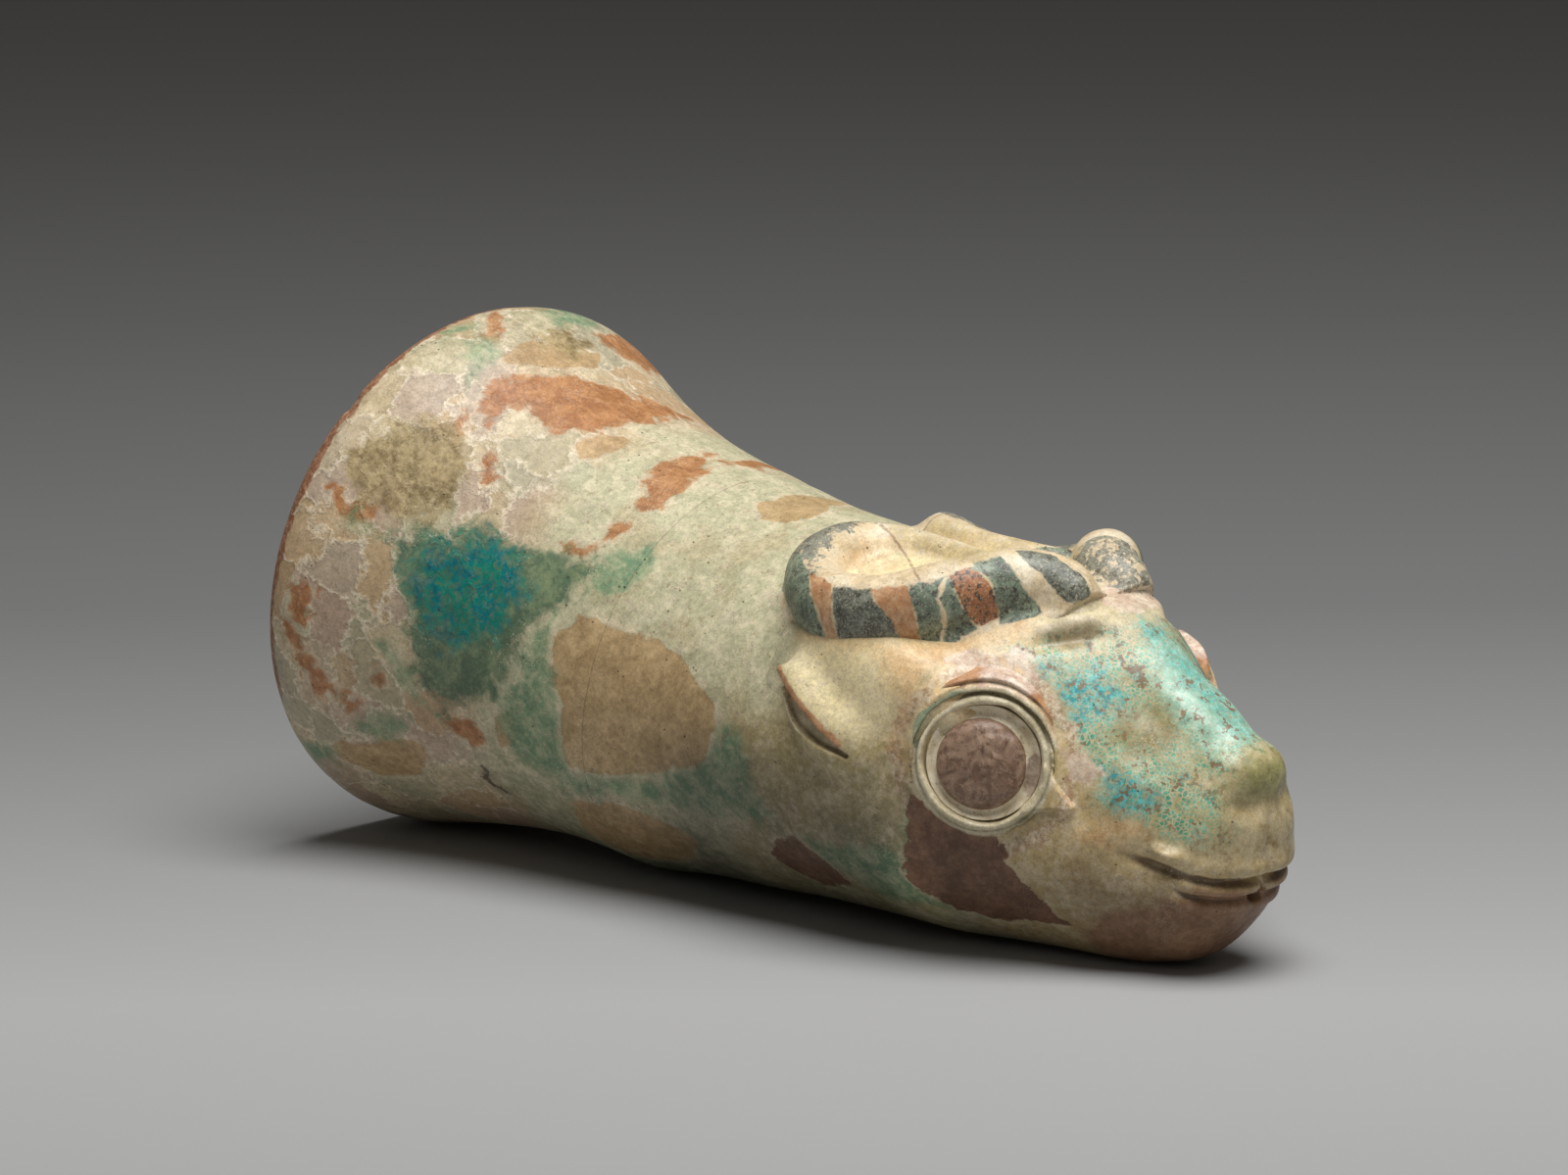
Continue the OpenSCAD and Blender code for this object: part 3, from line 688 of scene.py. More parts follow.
def ear_shape(side):
    """A soft roll that runs out into the temple, with a slit along it."""
    r = through(EAR_ROUTE, np.linspace(0, 6, 120))
    x = 48 + r[:, 1] * 25
    wide = through(HEAD_ROWS, x)[:, 3]
    middle = np.stack([80 + x, wide + r[:, 2], r[:, 3]], -1)
    half = np.stack([r[:, 4] * 3.9, r[:, 5] * 6.4], -1)
    p, low = box_grid((122, 24, 3), (170, 47, 44), EAR_STEP)
    q = p * [1, side, 1]
    i = np.clip(np.searchsorted(middle[:, 0], p[..., 0]), 0, len(r) - 1)
    u = np.stack([p[..., 1] - middle[i, 1], p[..., 2] - middle[i, 2]], -1)
    h = np.maximum(half[i], 0.35)
    k0 = np.linalg.norm(u / h, axis=-1)
    k1 = np.linalg.norm(u / h**2, axis=-1)
    d = k0 * (k0 - 1) / np.maximum(k1, 1e-6)
    ends = np.maximum(middle[0, 0] - p[..., 0], p[..., 0] - middle[-1, 0])
    d = np.maximum(d, ends)
    d = d - 0.2 * noise(q, 7, 2)
    mound = np.linalg.norm((p - [145.5, 31.6, 26]) / [23, 7.8, 10.5], axis=-1)
    d = join(d, (mound - 1) * 7.4, 6.0)
    head = head_distance(q)
    offset = 0.1 - 0.45 * smooth(d, 1.6, 4.2)
    body = join(d, head - offset, 3.4)
    along = near_line(p, np.array(EAR_SLIT) * [1, -1, 1])[1]
    swell = np.sin(math.pi * np.clip(along, 0.03, 0.97))
    slit = near_line(p * [1, 0, 1], np.array(EAR_SLIT) * [1, 0, 1])[0] - 0.4 - 1.7 * swell
    slit = np.maximum(slit, 0.5 + 1.3 * swell - head)
    body = carve(body, slit, 0.4)
    lip = np.abs(near_line(p * [1, 0, 1], (np.array(EAR_SLIT) + [-0.4, 0, -2.7]) * [1, 0, 1])[0]) - 0.75
    lip = np.maximum(lip, head - 1.5 * swell - 0.3)
    body = join(body, lip, 0.9)
    body = np.maximum(body, d - 4.8)
    body = np.maximum(body, -(head + 1.2))
    return surface_net(body, low, EAR_STEP)


def eye_parts(side):
    """Lid ring with its tear wedge, and the crescent lid, in the eye's frame."""
    p, low = box_grid((-19, -16.5, -1.6), (20, 20.5, 7.5), EYE_STEP)
    world = from_eye(p)
    q = world * [1, side, 1]
    x, y, z = p[..., 0], p[..., 1], p[..., 2]
    a = np.degrees(np.arctan2(y, x))
    r = np.hypot(x, y) + 0.3 * noise(q, 9, 0) + 0.12 * noise(q, 3.4, 1)
    wob = 0.22 * noise(q, 6, 1) + 0.13 * noise(q, 2.2, 2)
    top = smooth(np.sin(np.radians(a + 10)), 0.0, 0.55)
    # the round band
    band = np.hypot(r - (11.7 + 0.15 * top), np.maximum(z - 4.3, 0)) - 0.85
    band = join(band, np.maximum(np.abs(r - 12.7) - 0.85, z - 3.7 + 0.9 * (1 - top)), 1.4)
    band = np.maximum(band, -z - 1.2)
    # the tear wedge
    tip = np.radians(-15)
    line = [(11.2 * math.cos(tip), 11.2 * math.sin(tip)), (18.6 * math.cos(tip), 18.6 * math.sin(tip))]
    flat = p[..., :2]
    d, t = near_line(flat, line)
    wedge = d - (4.3 * (1 - t) ** 1.3 + 0.35)
    wedge = np.maximum(wedge, z - (5.6 + 0.6 * t))
    wedge = np.maximum(wedge, -z - 1.2)
    ring = join(band, wedge, 1.4)
    ring = carve(ring, r - 10.9 - 0.3 * np.maximum(z - 3.4, 0) + 0.2 * noise(q, 4, 3), 0.6)
    ring = ring + wob
    # the crescent: a second fine ridge and a wide band above it
    shift = np.array([4 * math.sin(math.radians(-12)), 4 * math.cos(math.radians(12))])
    far = np.hypot(x - shift[0], y - shift[1])
    outer = far - 13.1
    crest = np.maximum(outer, 13.55 - r)
    height = 5.3 - 1.9 * smooth(r, 15.2, 17.6) - 1.0 * np.exp(-(((r - 15.15) / 0.5) ** 2))
    crest = np.maximum(crest, z - height)
    lid = np.maximum(crest, -z - 1.2) + wob
    head = head_distance(q)
    skirt = head - 0.1 + 0.5 * smooth(lid, 1.0, 3.0)
    lid_body = np.maximum(join(lid, skirt, 1.6), lid - 3.2)
    lid_body = np.maximum(lid_body, np.maximum(13.5 - r, -(head + 1.2)))
    skirt = head - 0.05 + 0.5 * smooth(ring, 0.8, 2.4)
    ring_body = np.maximum(join(ring, skirt, 1.2), ring - 2.6)
    ring_body = np.maximum(ring_body, np.maximum(10.8 - r, 0.12 - lid_body))
    ring_body = np.maximum(ring_body, -z - 1.2)
    shapes = []
    for body in (ring_body, lid_body):
        points, quads = surface_net(body, low, EYE_STEP)
        shapes.append((from_eye(points), quads[:, ::-1]))
    return shapes


def ball_shape(side):
    """Pale pellet inside the ring, and the domed iris on it."""
    n = 120
    a = np.linspace(0, 2 * math.pi, n, endpoint=False)

    def turned(profile, centre, seed, rough):
        prof = np.array(profile, float)
        x = centre[0] + prof[:, :1] * np.cos(a)
        y = centre[1] + prof[:, :1] * np.sin(a)
        z = np.repeat(prof[:, 1:], n, 1)
        p = np.stack([x, y, z], -1)
        w = from_eye(p) * [1, side, 1]
        lift = rough * (0.5 * noise(w, 4.5, seed) + 0.3 * noise(w, 1.7, seed + 1))
        p[..., 2] += lift * (p[..., 2] > 0.5)
        return closed_loft(p)

    r = np.linspace(10.85, 0.3, 40)
    top = 3.9 - 0.8 * smooth(11 - r, 0, 1.6) + 0.7 * smooth(9.4 - r, 0, 1.5)
    ball = [(10.85, -0.2)] + list(zip(r, top))
    iris_r = np.concatenate([np.linspace(8.65, 8.5, 3), 8.5 * np.cos(np.linspace(0.05, 1.5, 44))])
    rise = 3.5 + np.concatenate([[0, 0.3, 0.5], 0.6 + 2.6 * np.sin(np.linspace(0.05, 1.5, 44))])
    iris = list(zip(iris_r, rise))
    pieces = []
    for prof, centre, seed, rough in ((ball, (0, 0), 1, 0.5), (iris, (-0.35, -0.3), 2, 0.8)):
        points, quads, tris = turned(prof, centre, seed, rough)
        pieces.append((from_eye(points), quads[:, ::-1], tris[:, ::-1]))
    return pieces


def on_side(points, quads, tris, side):
    """Mirror a left-hand shape to the right-hand side."""
    if side > 0:
        return points, quads, tris
    flipped = None if tris is None else np.asarray(tris)[:, ::-1]
    return points * [1, -1, 1], np.asarray(quads)[:, ::-1], flipped


# ---------------------------------------------------------------- patches of glaze, stain and crust, and of painted shade and highlight
# Outlines as (distance from the mouth in mm, angle in degrees), 0 at the animal's right, 90 on top.
PATCHES = {
    "terra": [
        [(23, 64), (23, 66), (27, 73), (30, 83), (34, 88), (40, 96), (45, 104), (47, 109), (49, 91),
         (47, 79), (44, 70), (41, 64), (35, 66), (31, 63), (31, 56), (27, 57)],
        [(23, 56), (24, 58), (27, 54), (28, 50), (25, 52)],
        [(35, 48), (37, 50), (40, 46), (39, 43), (37, 45)],
        [(64, 66), (63, 74), (65, 82), (66, 92), (73, 80), (73, 68), (73, 60), (70, 57)],
        [(67, 47), (70, 52), (72, 51), (71, 45), (69, 44)],
        [(59, 38), (68, 41), (70, 39), (66, 36), (60, 36)],
        [(8, 26), (10, 28), (13, 24), (20, 26), (23, 24), (21, 22), (16, 21), (11, 23)],
        [(5, 81), (6, 84), (11, 80), (12, 84), (16, 75), (14, 74)],
        [(17, 104), (13, 121), (15, 122), (20, 127), (30, 112), (25, 110), (23, 102)],
        [(71, 90), (68, 116), (73, 112), (76, 95)],
        [(9, 3), (13, 4), (15, -1), (12, -4), (9, -1)],
        [(8, -5), (11, -6), (15, -13), (16, -23), (15, -21), (12, -14), (9, -9)],
        [(15, -13), (18, -15), (17, -19), (14, -17)],
        [(28, -10), (31, -9), (31, -13), (29, -14)],
        [(20, -19), (24, -19), (24, -22), (20, -24)],
        [(44, -20), (50, -16), (52, -23), (49, -26), (46, -23)],
    ],
    "olive": [
        [(9, 35), (14, 42), (15, 46), (23, 51), (29, 49), (34, 42), (36, 34), (34, 27), (28, 26),
         (23, 27), (15, 27), (10, 31)],
        [(17, 85), (18, 95), (22, 97), (25, 89), (21, 85)],
    ],
    "tan": [
        [(70, 10), (70, 16), (75, 22), (82, 23), (92, 24), (101, 24), (104, 20), (111, 15), (114, 9),
         (113, 1), (111, -5), (99, -12), (87, -19), (76, -22), (75, -13), (74, -3), (71, 4)],
        [(20, 72), (19, 74), (18, 79), (21, 89), (26, 97), (30, 93), (27, 83), (22, 73)],
        [(89, 76), (89, 83), (91, 94), (94, 107), (102, 85), (99, 74), (94, 71)],
        [(46, 66), (47, 72), (52, 78), (54, 74), (52, 66), (49, 62)],
        [(14, -34), (26, -30), (37, -29), (38, -34), (33, -43), (24, -43), (14, -39)],
        [(75, -33), (86, -30), (102, -32), (105, -37), (93, -56), (80, -59), (72, -52)],
        [(56, -14), (61, -10), (64, -13), (62, -20), (57, -24), (56, -19)],
    ],
    "blue": [
        [(27, 21), (30, 26), (36, 27), (40, 32), (42, 36), (45, 33), (51, 32), (61, 36), (70, 37),
         (73, 36), (72, 30), (69, 25), (66, 20), (63, 14), (60, 2), (57, -7), (51, -13), (44, -16),
         (40, -12), (37, -4), (34, 4), (31, 11), (29, 16)],
    ],
    "core": [
        [(32, 21), (37, 26), (42, 29), (47, 30), (53, 29), (57, 22), (56, 12), (51, 5), (44, 2), (38, 5),
         (34, 10), (32, 16)],
    ],
    "teal": [
        [(64, 10), (65, 15), (68, 20), (69, 10), (71, 1), (74, -9), (75, -21), (82, -23), (99, -15),
         (114, -2), (116, 11), (122, 8), (126, -2), (129, -12), (119, -17), (108, -21), (92, -24),
         (76, -29), (63, -27), (57, -14), (59, -6)],
        [(30, -4), (36, -8), (40, -13), (43, -19), (39, -16), (34, -11)],
        [(22, -25), (30, -22), (34, -24), (29, -29), (22, -29)],
        [(3, -37), (15, -34), (12, -40), (3, -43)],
        [(9, 96), (8, 107), (9, 112), (16, 103), (15, 95)],
        [(4, 71), (7, 78), (11, 74), (8, 69)],
        [(13, 70), (14, 77), (19, 72), (22, 63), (19, 64)],
        [(70, 38), (74, 40), (79, 49), (82, 43), (80, 35), (74, 27)],
        [(16, 21), (22, 23), (28, 24), (27, 21), (21, 20)],
        [(136, -13), (145, -12), (154, -6), (158, -7), (161, -15), (164, -21), (167, -28), (161, -29),
         (154, -32), (148, -23), (139, -21)],
        [(161, -4), (162, 7), (164, 15), (165, 12), (163, 0), (161, -7)],
        [(159, 36), (160, 42), (160, 44), (160, 40), (159, 34)],
    ],
    "red": [
        [(163, 17), (167, 12), (172, 10), (178, 12), (182, 2), (184, -7), (187, -17), (191, -28),
         (186, -30), (176, -33), (168, -29), (164, -21), (161, -15), (161, -6), (163, 4)],
        [(129, -19), (134, -15), (141, -21), (145, -28), (136, -41), (129, -33), (126, -27)],
    ],
    "cyan": [
        [(199, 38), (207, 36), (214, 42), (217, 56), (214, 66), (206, 62), (202, 50)],
        [(167, 57), (174, 58), (176, 57), (180, 59), (183, 58), (182, 53), (187, 48), (189, 46),
         (193, 46), (192, 36), (196, 36), (202, 42), (208, 53), (208, 62), (205, 67), (211, 69),
         (213, 82), (214, 93), (210, 93), (203, 93), (194, 95), (186, 94), (183, 89), (183, 83),
         (182, 76), (179, 72), (175, 68), (172, 64)],
    ],
    "bright": [
        [(180, 57), (180, 64), (183, 71), (188, 71), (190, 63), (187, 54), (184, 52)],
        [(192, 43), (194, 50), (199, 52), (203, 52), (201, 42), (196, 38)],
        [(183, 86), (184, 90), (189, 93), (196, 93), (203, 93), (211, 91), (209, 85), (201, 85), (194, 84)],
        [(174, 59), (176, 64), (177, 62), (176, 58)],
    ],
    # Along the nose ridge: partly the glaze's own pale cyan, partly a painted highlight.
    "ridge": [
        [(184, 87), (190, 80), (196, 76), (203, 74), (209, 76), (211, 82), (211, 90), (204, 92), (194, 92),
         (186, 91)],
    ],
    "hollow": [
        [(192, 66), (191, 73), (193, 77), (196, 77), (199, 73), (198, 65), (195, 58), (193, 60)],
    ],
    "peach": [
        [(128, 39), (139, 42), (155, 46), (157, 50), (162, 59), (168, 70), (170, 65), (164, 55),
         (161, 48), (159, 41), (159, 35), (159, 27), (162, 19), (156, 25), (157, 30), (156, 37),
         (149, 40), (136, 38)],
        [(190, 19), (197, 34), (202, 40), (205, 35), (198, 21)],
    ],
    # Painted shade in the brow groove above the eye.
    "dark": [
        [(171, 66), (173, 70), (178, 77), (180, 78), (180, 73), (175, 67)],
    ],
    "pink": [
        [(184, 46), (187, 46), (190, 50), (193, 47), (191, 40), (188, 39)],
        [(170, 88), (167, 108), (176, 105), (181, 89), (177, 84), (174, 85)],
        [(161, 48), (164, 55), (171, 60), (174, 60), (175, 56), (169, 54), (164, 48)],
    ],
    "crack": [
        [(50, -31), (52, -32), (52, -38), (55, -42), (54, -45), (50, -42), (48, -39)],
    ],
}
# Outlines in side view, (distance from the mouth, height over the axis), on both sides of the head
SIDE_PATCHES = {
    "chin": [[(199, -5), (205, -2), (209, 1), (214, 4.5), (219, 4.5), (224, 0), (224, -20), (196, -20),
              (193, -12)]],
    "nose": [[(213, 24), (214, 29), (222, 29), (222, 22), (219, 20), (216, 21)]],
    "grime": [[(217, 22), (223, 21), (223, 10), (214, 9), (205, 8), (198, 10), (204, 14), (210, 13),
               (216, 14)]],
}
HIDDEN_SHIFT = {"blue": 9, "core": 9, "tan": -6, "terra": 5, "teal": 4}


def patch_field(u, v, outlines, reach=12):
    """Signed distance into a set of outlines, positive inside."""
    best = np.full(u.shape, -float(reach))
    for line in outlines:
        q = np.array(line, float)
        near = ((u > q[:, 0].min() - reach) & (u < q[:, 0].max() + reach)
                & (v > q[:, 1].min() - reach) & (v < q[:, 1].max() + reach))
        if not near.any():
            continue
        x, y = u[near], v[near]
        inside = np.zeros(x.shape, bool)
        d = np.full(x.shape, 1e9)
        for k in range(len(q)):
            a, b = q[k], q[(k + 1) % len(q)]
            e = b - a
            t = np.clip(((x - a[0]) * e[0] + (y - a[1]) * e[1]) / max(e @ e, 1e-9), 0, 1)
            d = np.minimum(d, (x - a[0] - t * e[0]) ** 2 + (y - a[1] - t * e[1]) ** 2)
            if a[1] != b[1]:
                inside ^= ((a[1] > y) != (b[1] > y)) & (x < e[0] * (y - a[1]) / e[1] + a[0])
        d = np.minimum(np.sqrt(d), reach)
        best[near] = np.maximum(best[near], np.where(inside, d, -d))
    return best


ROUND = 0.75  # millimetres of the mean skin in one degree round the axis


def unrolled(outlines, hidden, shift):
    """Outlines in millimetres on the unrolled skin; the hidden side gets shifted mirror images."""
    made = [[(s, a * ROUND) for s, a in line] for line in outlines]
    if hidden:
        for k, line in enumerate(outlines):
            if np.mean([a for s, a in line]) < 62:
                sway = shift + 5 * math.sin(2.3 * k)
                made.append([(s + 0.5 * sway, (205 + 1.3 * sway - a) * ROUND) for s, a in line])
    return made


# Patches of the face, the same on both sides
FACE_PATCHES = ("cyan", "bright", "ridge", "hollow", "pink", "peach", "dark", "red")


def paint_skin(obj, p):
    """Every field of the glaze and of the painted shade and light, for points of the cup's frame."""
    s, angle = polar(p)
    v = ((angle + 95) % 360 - 95) * ROUND
    wave = 1.8 * noise(p, 9, 0) + 0.7 * noise(p, 3.5, 1)
    side = mirrored(p)
    for name, outlines in PATCHES.items():
        on_face = name in FACE_PATCHES
        lines = unrolled(outlines, not on_face and name != "crack", HIDDEN_SHIFT.get(name, 0))
        value = patch_field(s + wave, v, lines)
        if on_face:
            value = np.maximum(value, patch_field(s + wave, polar(side)[1] * ROUND, lines))
        paint(obj, name, value)
    for name, lines in SIDE_PATCHES.items():
        paint(obj, name, patch_field(p[..., 0] + 0.6 * wave, p[..., 2], lines))
    eye = to_eye(side * [1, -1, 1])
    off_ring = np.abs(np.hypot(eye[:, 0], eye[:, 1]) - 17.2)
    paint(obj, "socket", 1.2 - off_ring - np.maximum(0, -eye[:, 2] - 2) * 3)
    # Painted shade in the mouth line and the line below it, laid later as a dark brown line.
    mouth, along = near_line(side, MOUTH_LINE)
    second, second_along = near_line(side, SECOND_LINE)
    mouth_line_shade = np.maximum(1.3 * smooth(along, 0.1, 0.35) - mouth, 0.9 * smooth(second_along, 0, 0.3) - second)
    paint(obj, "mouth_line_shade", mouth_line_shade)
    paint(obj, "crusty", 1 - smooth(s + 6 * noise(p, 12, 2), 44, 60))
    # Painted shade and light in the 'shade' field: the underside of the neck, the lower face, the belly and a
    # band below the eye are darkened where shade falls, and a spot on the cheek between ear and eye is
    # lightened.
    low = 1 - smooth(p[:, 2] + 5 * noise(p, 14, 3), -6, 15)
    neck = smooth(s, 88, 112) * (1 - smooth(s, 152, 166)) * low
    face = smooth(s, 160, 170) * (1 - smooth(p[:, 2] + 4 * noise(p, 12, 2), -3, 12))
    hem = smooth(s, 60, 84) * (1 - smooth(s, 100, 120)) * (1 - smooth(p[:, 2], -26, -10))
    under_eye = np.exp(-((np.hypot(eye[:, 0] + 1, eye[:, 1] + 2) - 14.5) / 2.2) ** 2)
    under_eye = under_eye * smooth(-eye[:, 1], -2, 8)
    paint(obj, "shade", 1 - 0.52 * neck - 0.44 * face - 0.25 * hem - 0.3 * under_eye * (1 - face)
          + 0.22 * blob(side, (151, -37, 24), (8, 10, 9)))
    paint(obj, "mottle", 1 - 0.65 * smooth(s, 122, 132) * (1 - smooth(s, 184, 196)) * smooth(p[:, 2], 4, 18))
    zones = np.concatenate([zone_colour(p), np.ones((len(p), 1))], 1)
    layer = obj.data.color_attributes.new("zone", "FLOAT_COLOR", "POINT")
    layer.data.foreach_set("color", zones.astype(np.float32).ravel())


def linear(rgb):
    """A colour of 0 to 255 as the shaders want it."""
    c = np.array(rgb, float) / 255
    return np.where(c <= 0.04045, c / 12.92, ((c + 0.055) / 1.055) ** 2.4)


def zone_colour(p):
    """The broad colours under the patches."""
    s, angle = polar(p)
    w = p[..., 2]
    drift = 8 * noise(p, 18, 1) + 4 * noise(p, 7, 2)
    colour = np.tile(linear((196, 192, 158)), (len(p), 1))

    def lay(rgb, share):
        nonlocal colour
        share = np.clip(share, 0, 1)[:, None]
        colour = colour * (1 - share) + linear(rgb) * share

    flare = 1 - smooth(s + drift, 46, 58)
    lay((208, 190, 156), flare)
    lay((190, 168, 134), flare * smooth(noise(p, 16, 3), 0.0, 0.5) * 0.8)
    lay((202, 190, 158), flare * smooth(noise(p, 11, 5), 0.1, 0.5) * 0.7)
    lay((178, 172, 138), flare * smooth(np.abs(angle - 92), 44, 20) * smooth(s, 30, 14) * 0.85)
    low = 1 - smooth(w + 0.8 * drift, -26, -8)
    lay((220, 198, 156), blob(p * [1, 0, 1], (207.6, 0, 9.6), (4, 1, 1.8)))
    # Darker and greener towards the underside: partly the sage glaze, partly painted shade where the body
    # turns under towards the floor.
    lay((150, 152, 122), low * smooth(s + drift, 40, 62) * 0.9)
    lay((120, 132, 104), (1 - smooth(w + 0.6 * drift, -40, -24)) * smooth(s, 30, 60) * 0.8)
    lay((176, 160, 116), smooth(s + drift, 112, 126) * (1 - smooth(s + 0.5 * drift, 160, 172))
        * (1 - smooth(w + drift, 14, 26)))
    lay((150, 144, 104), smooth(s + drift, 118, 135) * (1 - smooth(s, 158, 170))
        * (1 - smooth(w + drift, -10, 6)))
    lay((200, 176, 128), smooth(s + drift, 168, 180))
    lay((198, 182, 140), smooth(s, 172, 186) * smooth(w + 0.5 * drift, 12, 24) * 0.6)
    warm = smooth(s, 146, 156) * (1 - smooth(s, 184, 192)) * smooth(w, 20, 30) * (1 - smooth(w, 42, 48))
    lay((232, 200, 150), warm * smooth(noise(p, 10, 3), -0.5, 0.3))
    lay((196, 188, 128), blob(p * [1, 0, 1], (138, 0, 30), (6, 1, 4)) * 0.9)
    lay((250, 232, 184), (1 - 0.8 * warm) * smooth(s, 124, 134) * (1 - smooth(s, 158, 168))
        * smooth(w + 0.5 * drift, 14, 22) * 0.9)
    lay((212, 200, 164), smooth(s, 160, 172) * smooth(w, 38, 44) * 0.8)
    lay((178, 152, 112), smooth(s, 186, 200) * (1 - smooth(w + 0.5 * drift, -4, 6)) * 0.9)
    return colour


# ---------------------------------------------------------------- materials
class Net:
    """A small helper to write node trees."""

    def __init__(self, name):
        self.material = bpy.data.materials.new(name)
        self.material.use_nodes = True
        self.tree = self.material.node_tree
        self.tree.nodes.clear()

    def node(self, kind, **settings):
        n = self.tree.nodes.new(kind)
        for key, value in settings.items():
            setattr(n, key, value)
        return n

    def feed(self, socket, value):
        """Link or set a socket; a tuple is a colour, each part from 0 to 255."""
        if isinstance(value, bpy.types.NodeSocket):
            self.tree.links.new(value, socket)
        elif isinstance(value, tuple):
            socket.default_value = (*linear(value), 1.0)
        else:
            socket.default_value = value

    def math(self, kind, a, b=0.5, clamp=False):
        n = self.node("ShaderNodeMath", operation=kind, use_clamp=clamp)
        self.feed(n.inputs[0], a)
        self.feed(n.inputs[1], b)
        return n.outputs[0]

    def mul(self, a, b):
        return self.math("MULTIPLY", a, b)

    def add(self, a, b):
        return self.math("ADD", a, b)

    def sub(self, a, b):
        return self.math("SUBTRACT", a, b)

    def swing(self, x, reach):
        """A noise from 0 to 1, moved to swing about zero."""
        return self.mul(self.sub(x, 0.5), reach)

    def step(self, x, low, high, out_low=0.0, out_high=1.0):
        """A smooth step from out_low to out_high, while x goes from low to high."""
        n = self.node("ShaderNodeMapRange", interpolation_type="SMOOTHSTEP")
        for socket, value in zip(n.inputs[:5], (x, low, high, out_low, out_high)):
            self.feed(socket, value)
        return n.outputs[0]

    def mix(self, share, a, b):
        n = self.node("ShaderNodeMix", data_type="RGBA")
        self.feed(n.inputs[0], share)
        self.feed(n.inputs[6], a)
        self.feed(n.inputs[7], b)
        return n.outputs[2]

    def field(self, name, out="Fac"):
        return self.node("ShaderNodeAttribute", attribute_name=name).outputs[out]

    def joined(self, parts):
        n = self.node("ShaderNodeCombineXYZ")
        for socket, value in zip(n.inputs, parts):
            self.feed(socket, value)
        return n.outputs[0]

    def grains(self, where, size, detail, rough=0.55, warp=0.0):
        """Three independent noises of about that size in millimetres, each from 0 to 1."""
        n = self.node("ShaderNodeTexNoise")
        self.feed(n.inputs["Vector"], where)
        self.feed(n.inputs["Scale"], 1.0 / size)
        self.feed(n.inputs["Detail"], detail)
        self.feed(n.inputs["Roughness"], rough)
        self.feed(n.inputs["Distortion"], warp)
        split = self.node("ShaderNodeSeparateColor")
        self.feed(split.inputs[0], n.outputs["Color"])
        return split.outputs[0], split.outputs[1], split.outputs[2]

    def cells(self, where, scale, feature="DISTANCE_TO_EDGE"):
        n = self.node("ShaderNodeTexVoronoi", feature=feature)
        self.feed(n.inputs["Vector"], where)
        self.feed(n.inputs["Scale"], scale)
        return n

    def millimetres(self):
        """The place on the object, in millimetres."""
        n = self.node("ShaderNodeVectorMath", operation="SCALE")
        self.feed(n.inputs[0], self.node("ShaderNodeTexCoord").outputs["Object"])
        self.feed(n.inputs["Scale"], 1000.0)
        return n.outputs[0]

    def surface(self, colour, rough, shine):
        """The shader at the end of the tree."""
        n = self.node("ShaderNodeBsdfPrincipled")
        self.feed(n.inputs["Base Color"], colour)
        self.feed(n.inputs["Roughness"], rough)
        self.feed(n.inputs["Specular IOR Level"], shine)
        self.feed(self.node("ShaderNodeOutputMaterial").inputs[0], n.outputs[0])
        return n

    def glazed(self, colour, rough, height, strength, coat=0.0):
        """A glazed surface with fine relief, and a clear coat if one is asked for."""
        bump = self.node("ShaderNodeBump")
        self.feed(bump.inputs["Strength"], strength)
        self.feed(bump.inputs["Distance"], BUMP_HEIGHT)
        self.feed(bump.inputs["Height"], height)
        n = self.surface(colour, rough, 0.45)
        self.feed(n.inputs["Normal"], bump.outputs[0])
        if coat:
            self.feed(n.inputs["Coat Weight"], coat)
            self.feed(n.inputs["Coat Roughness"], 0.3)
        return self.material


GLOSS = 0.46  # the glaze's middle roughness
BUMP_HEIGHT = 0.0004  # metres


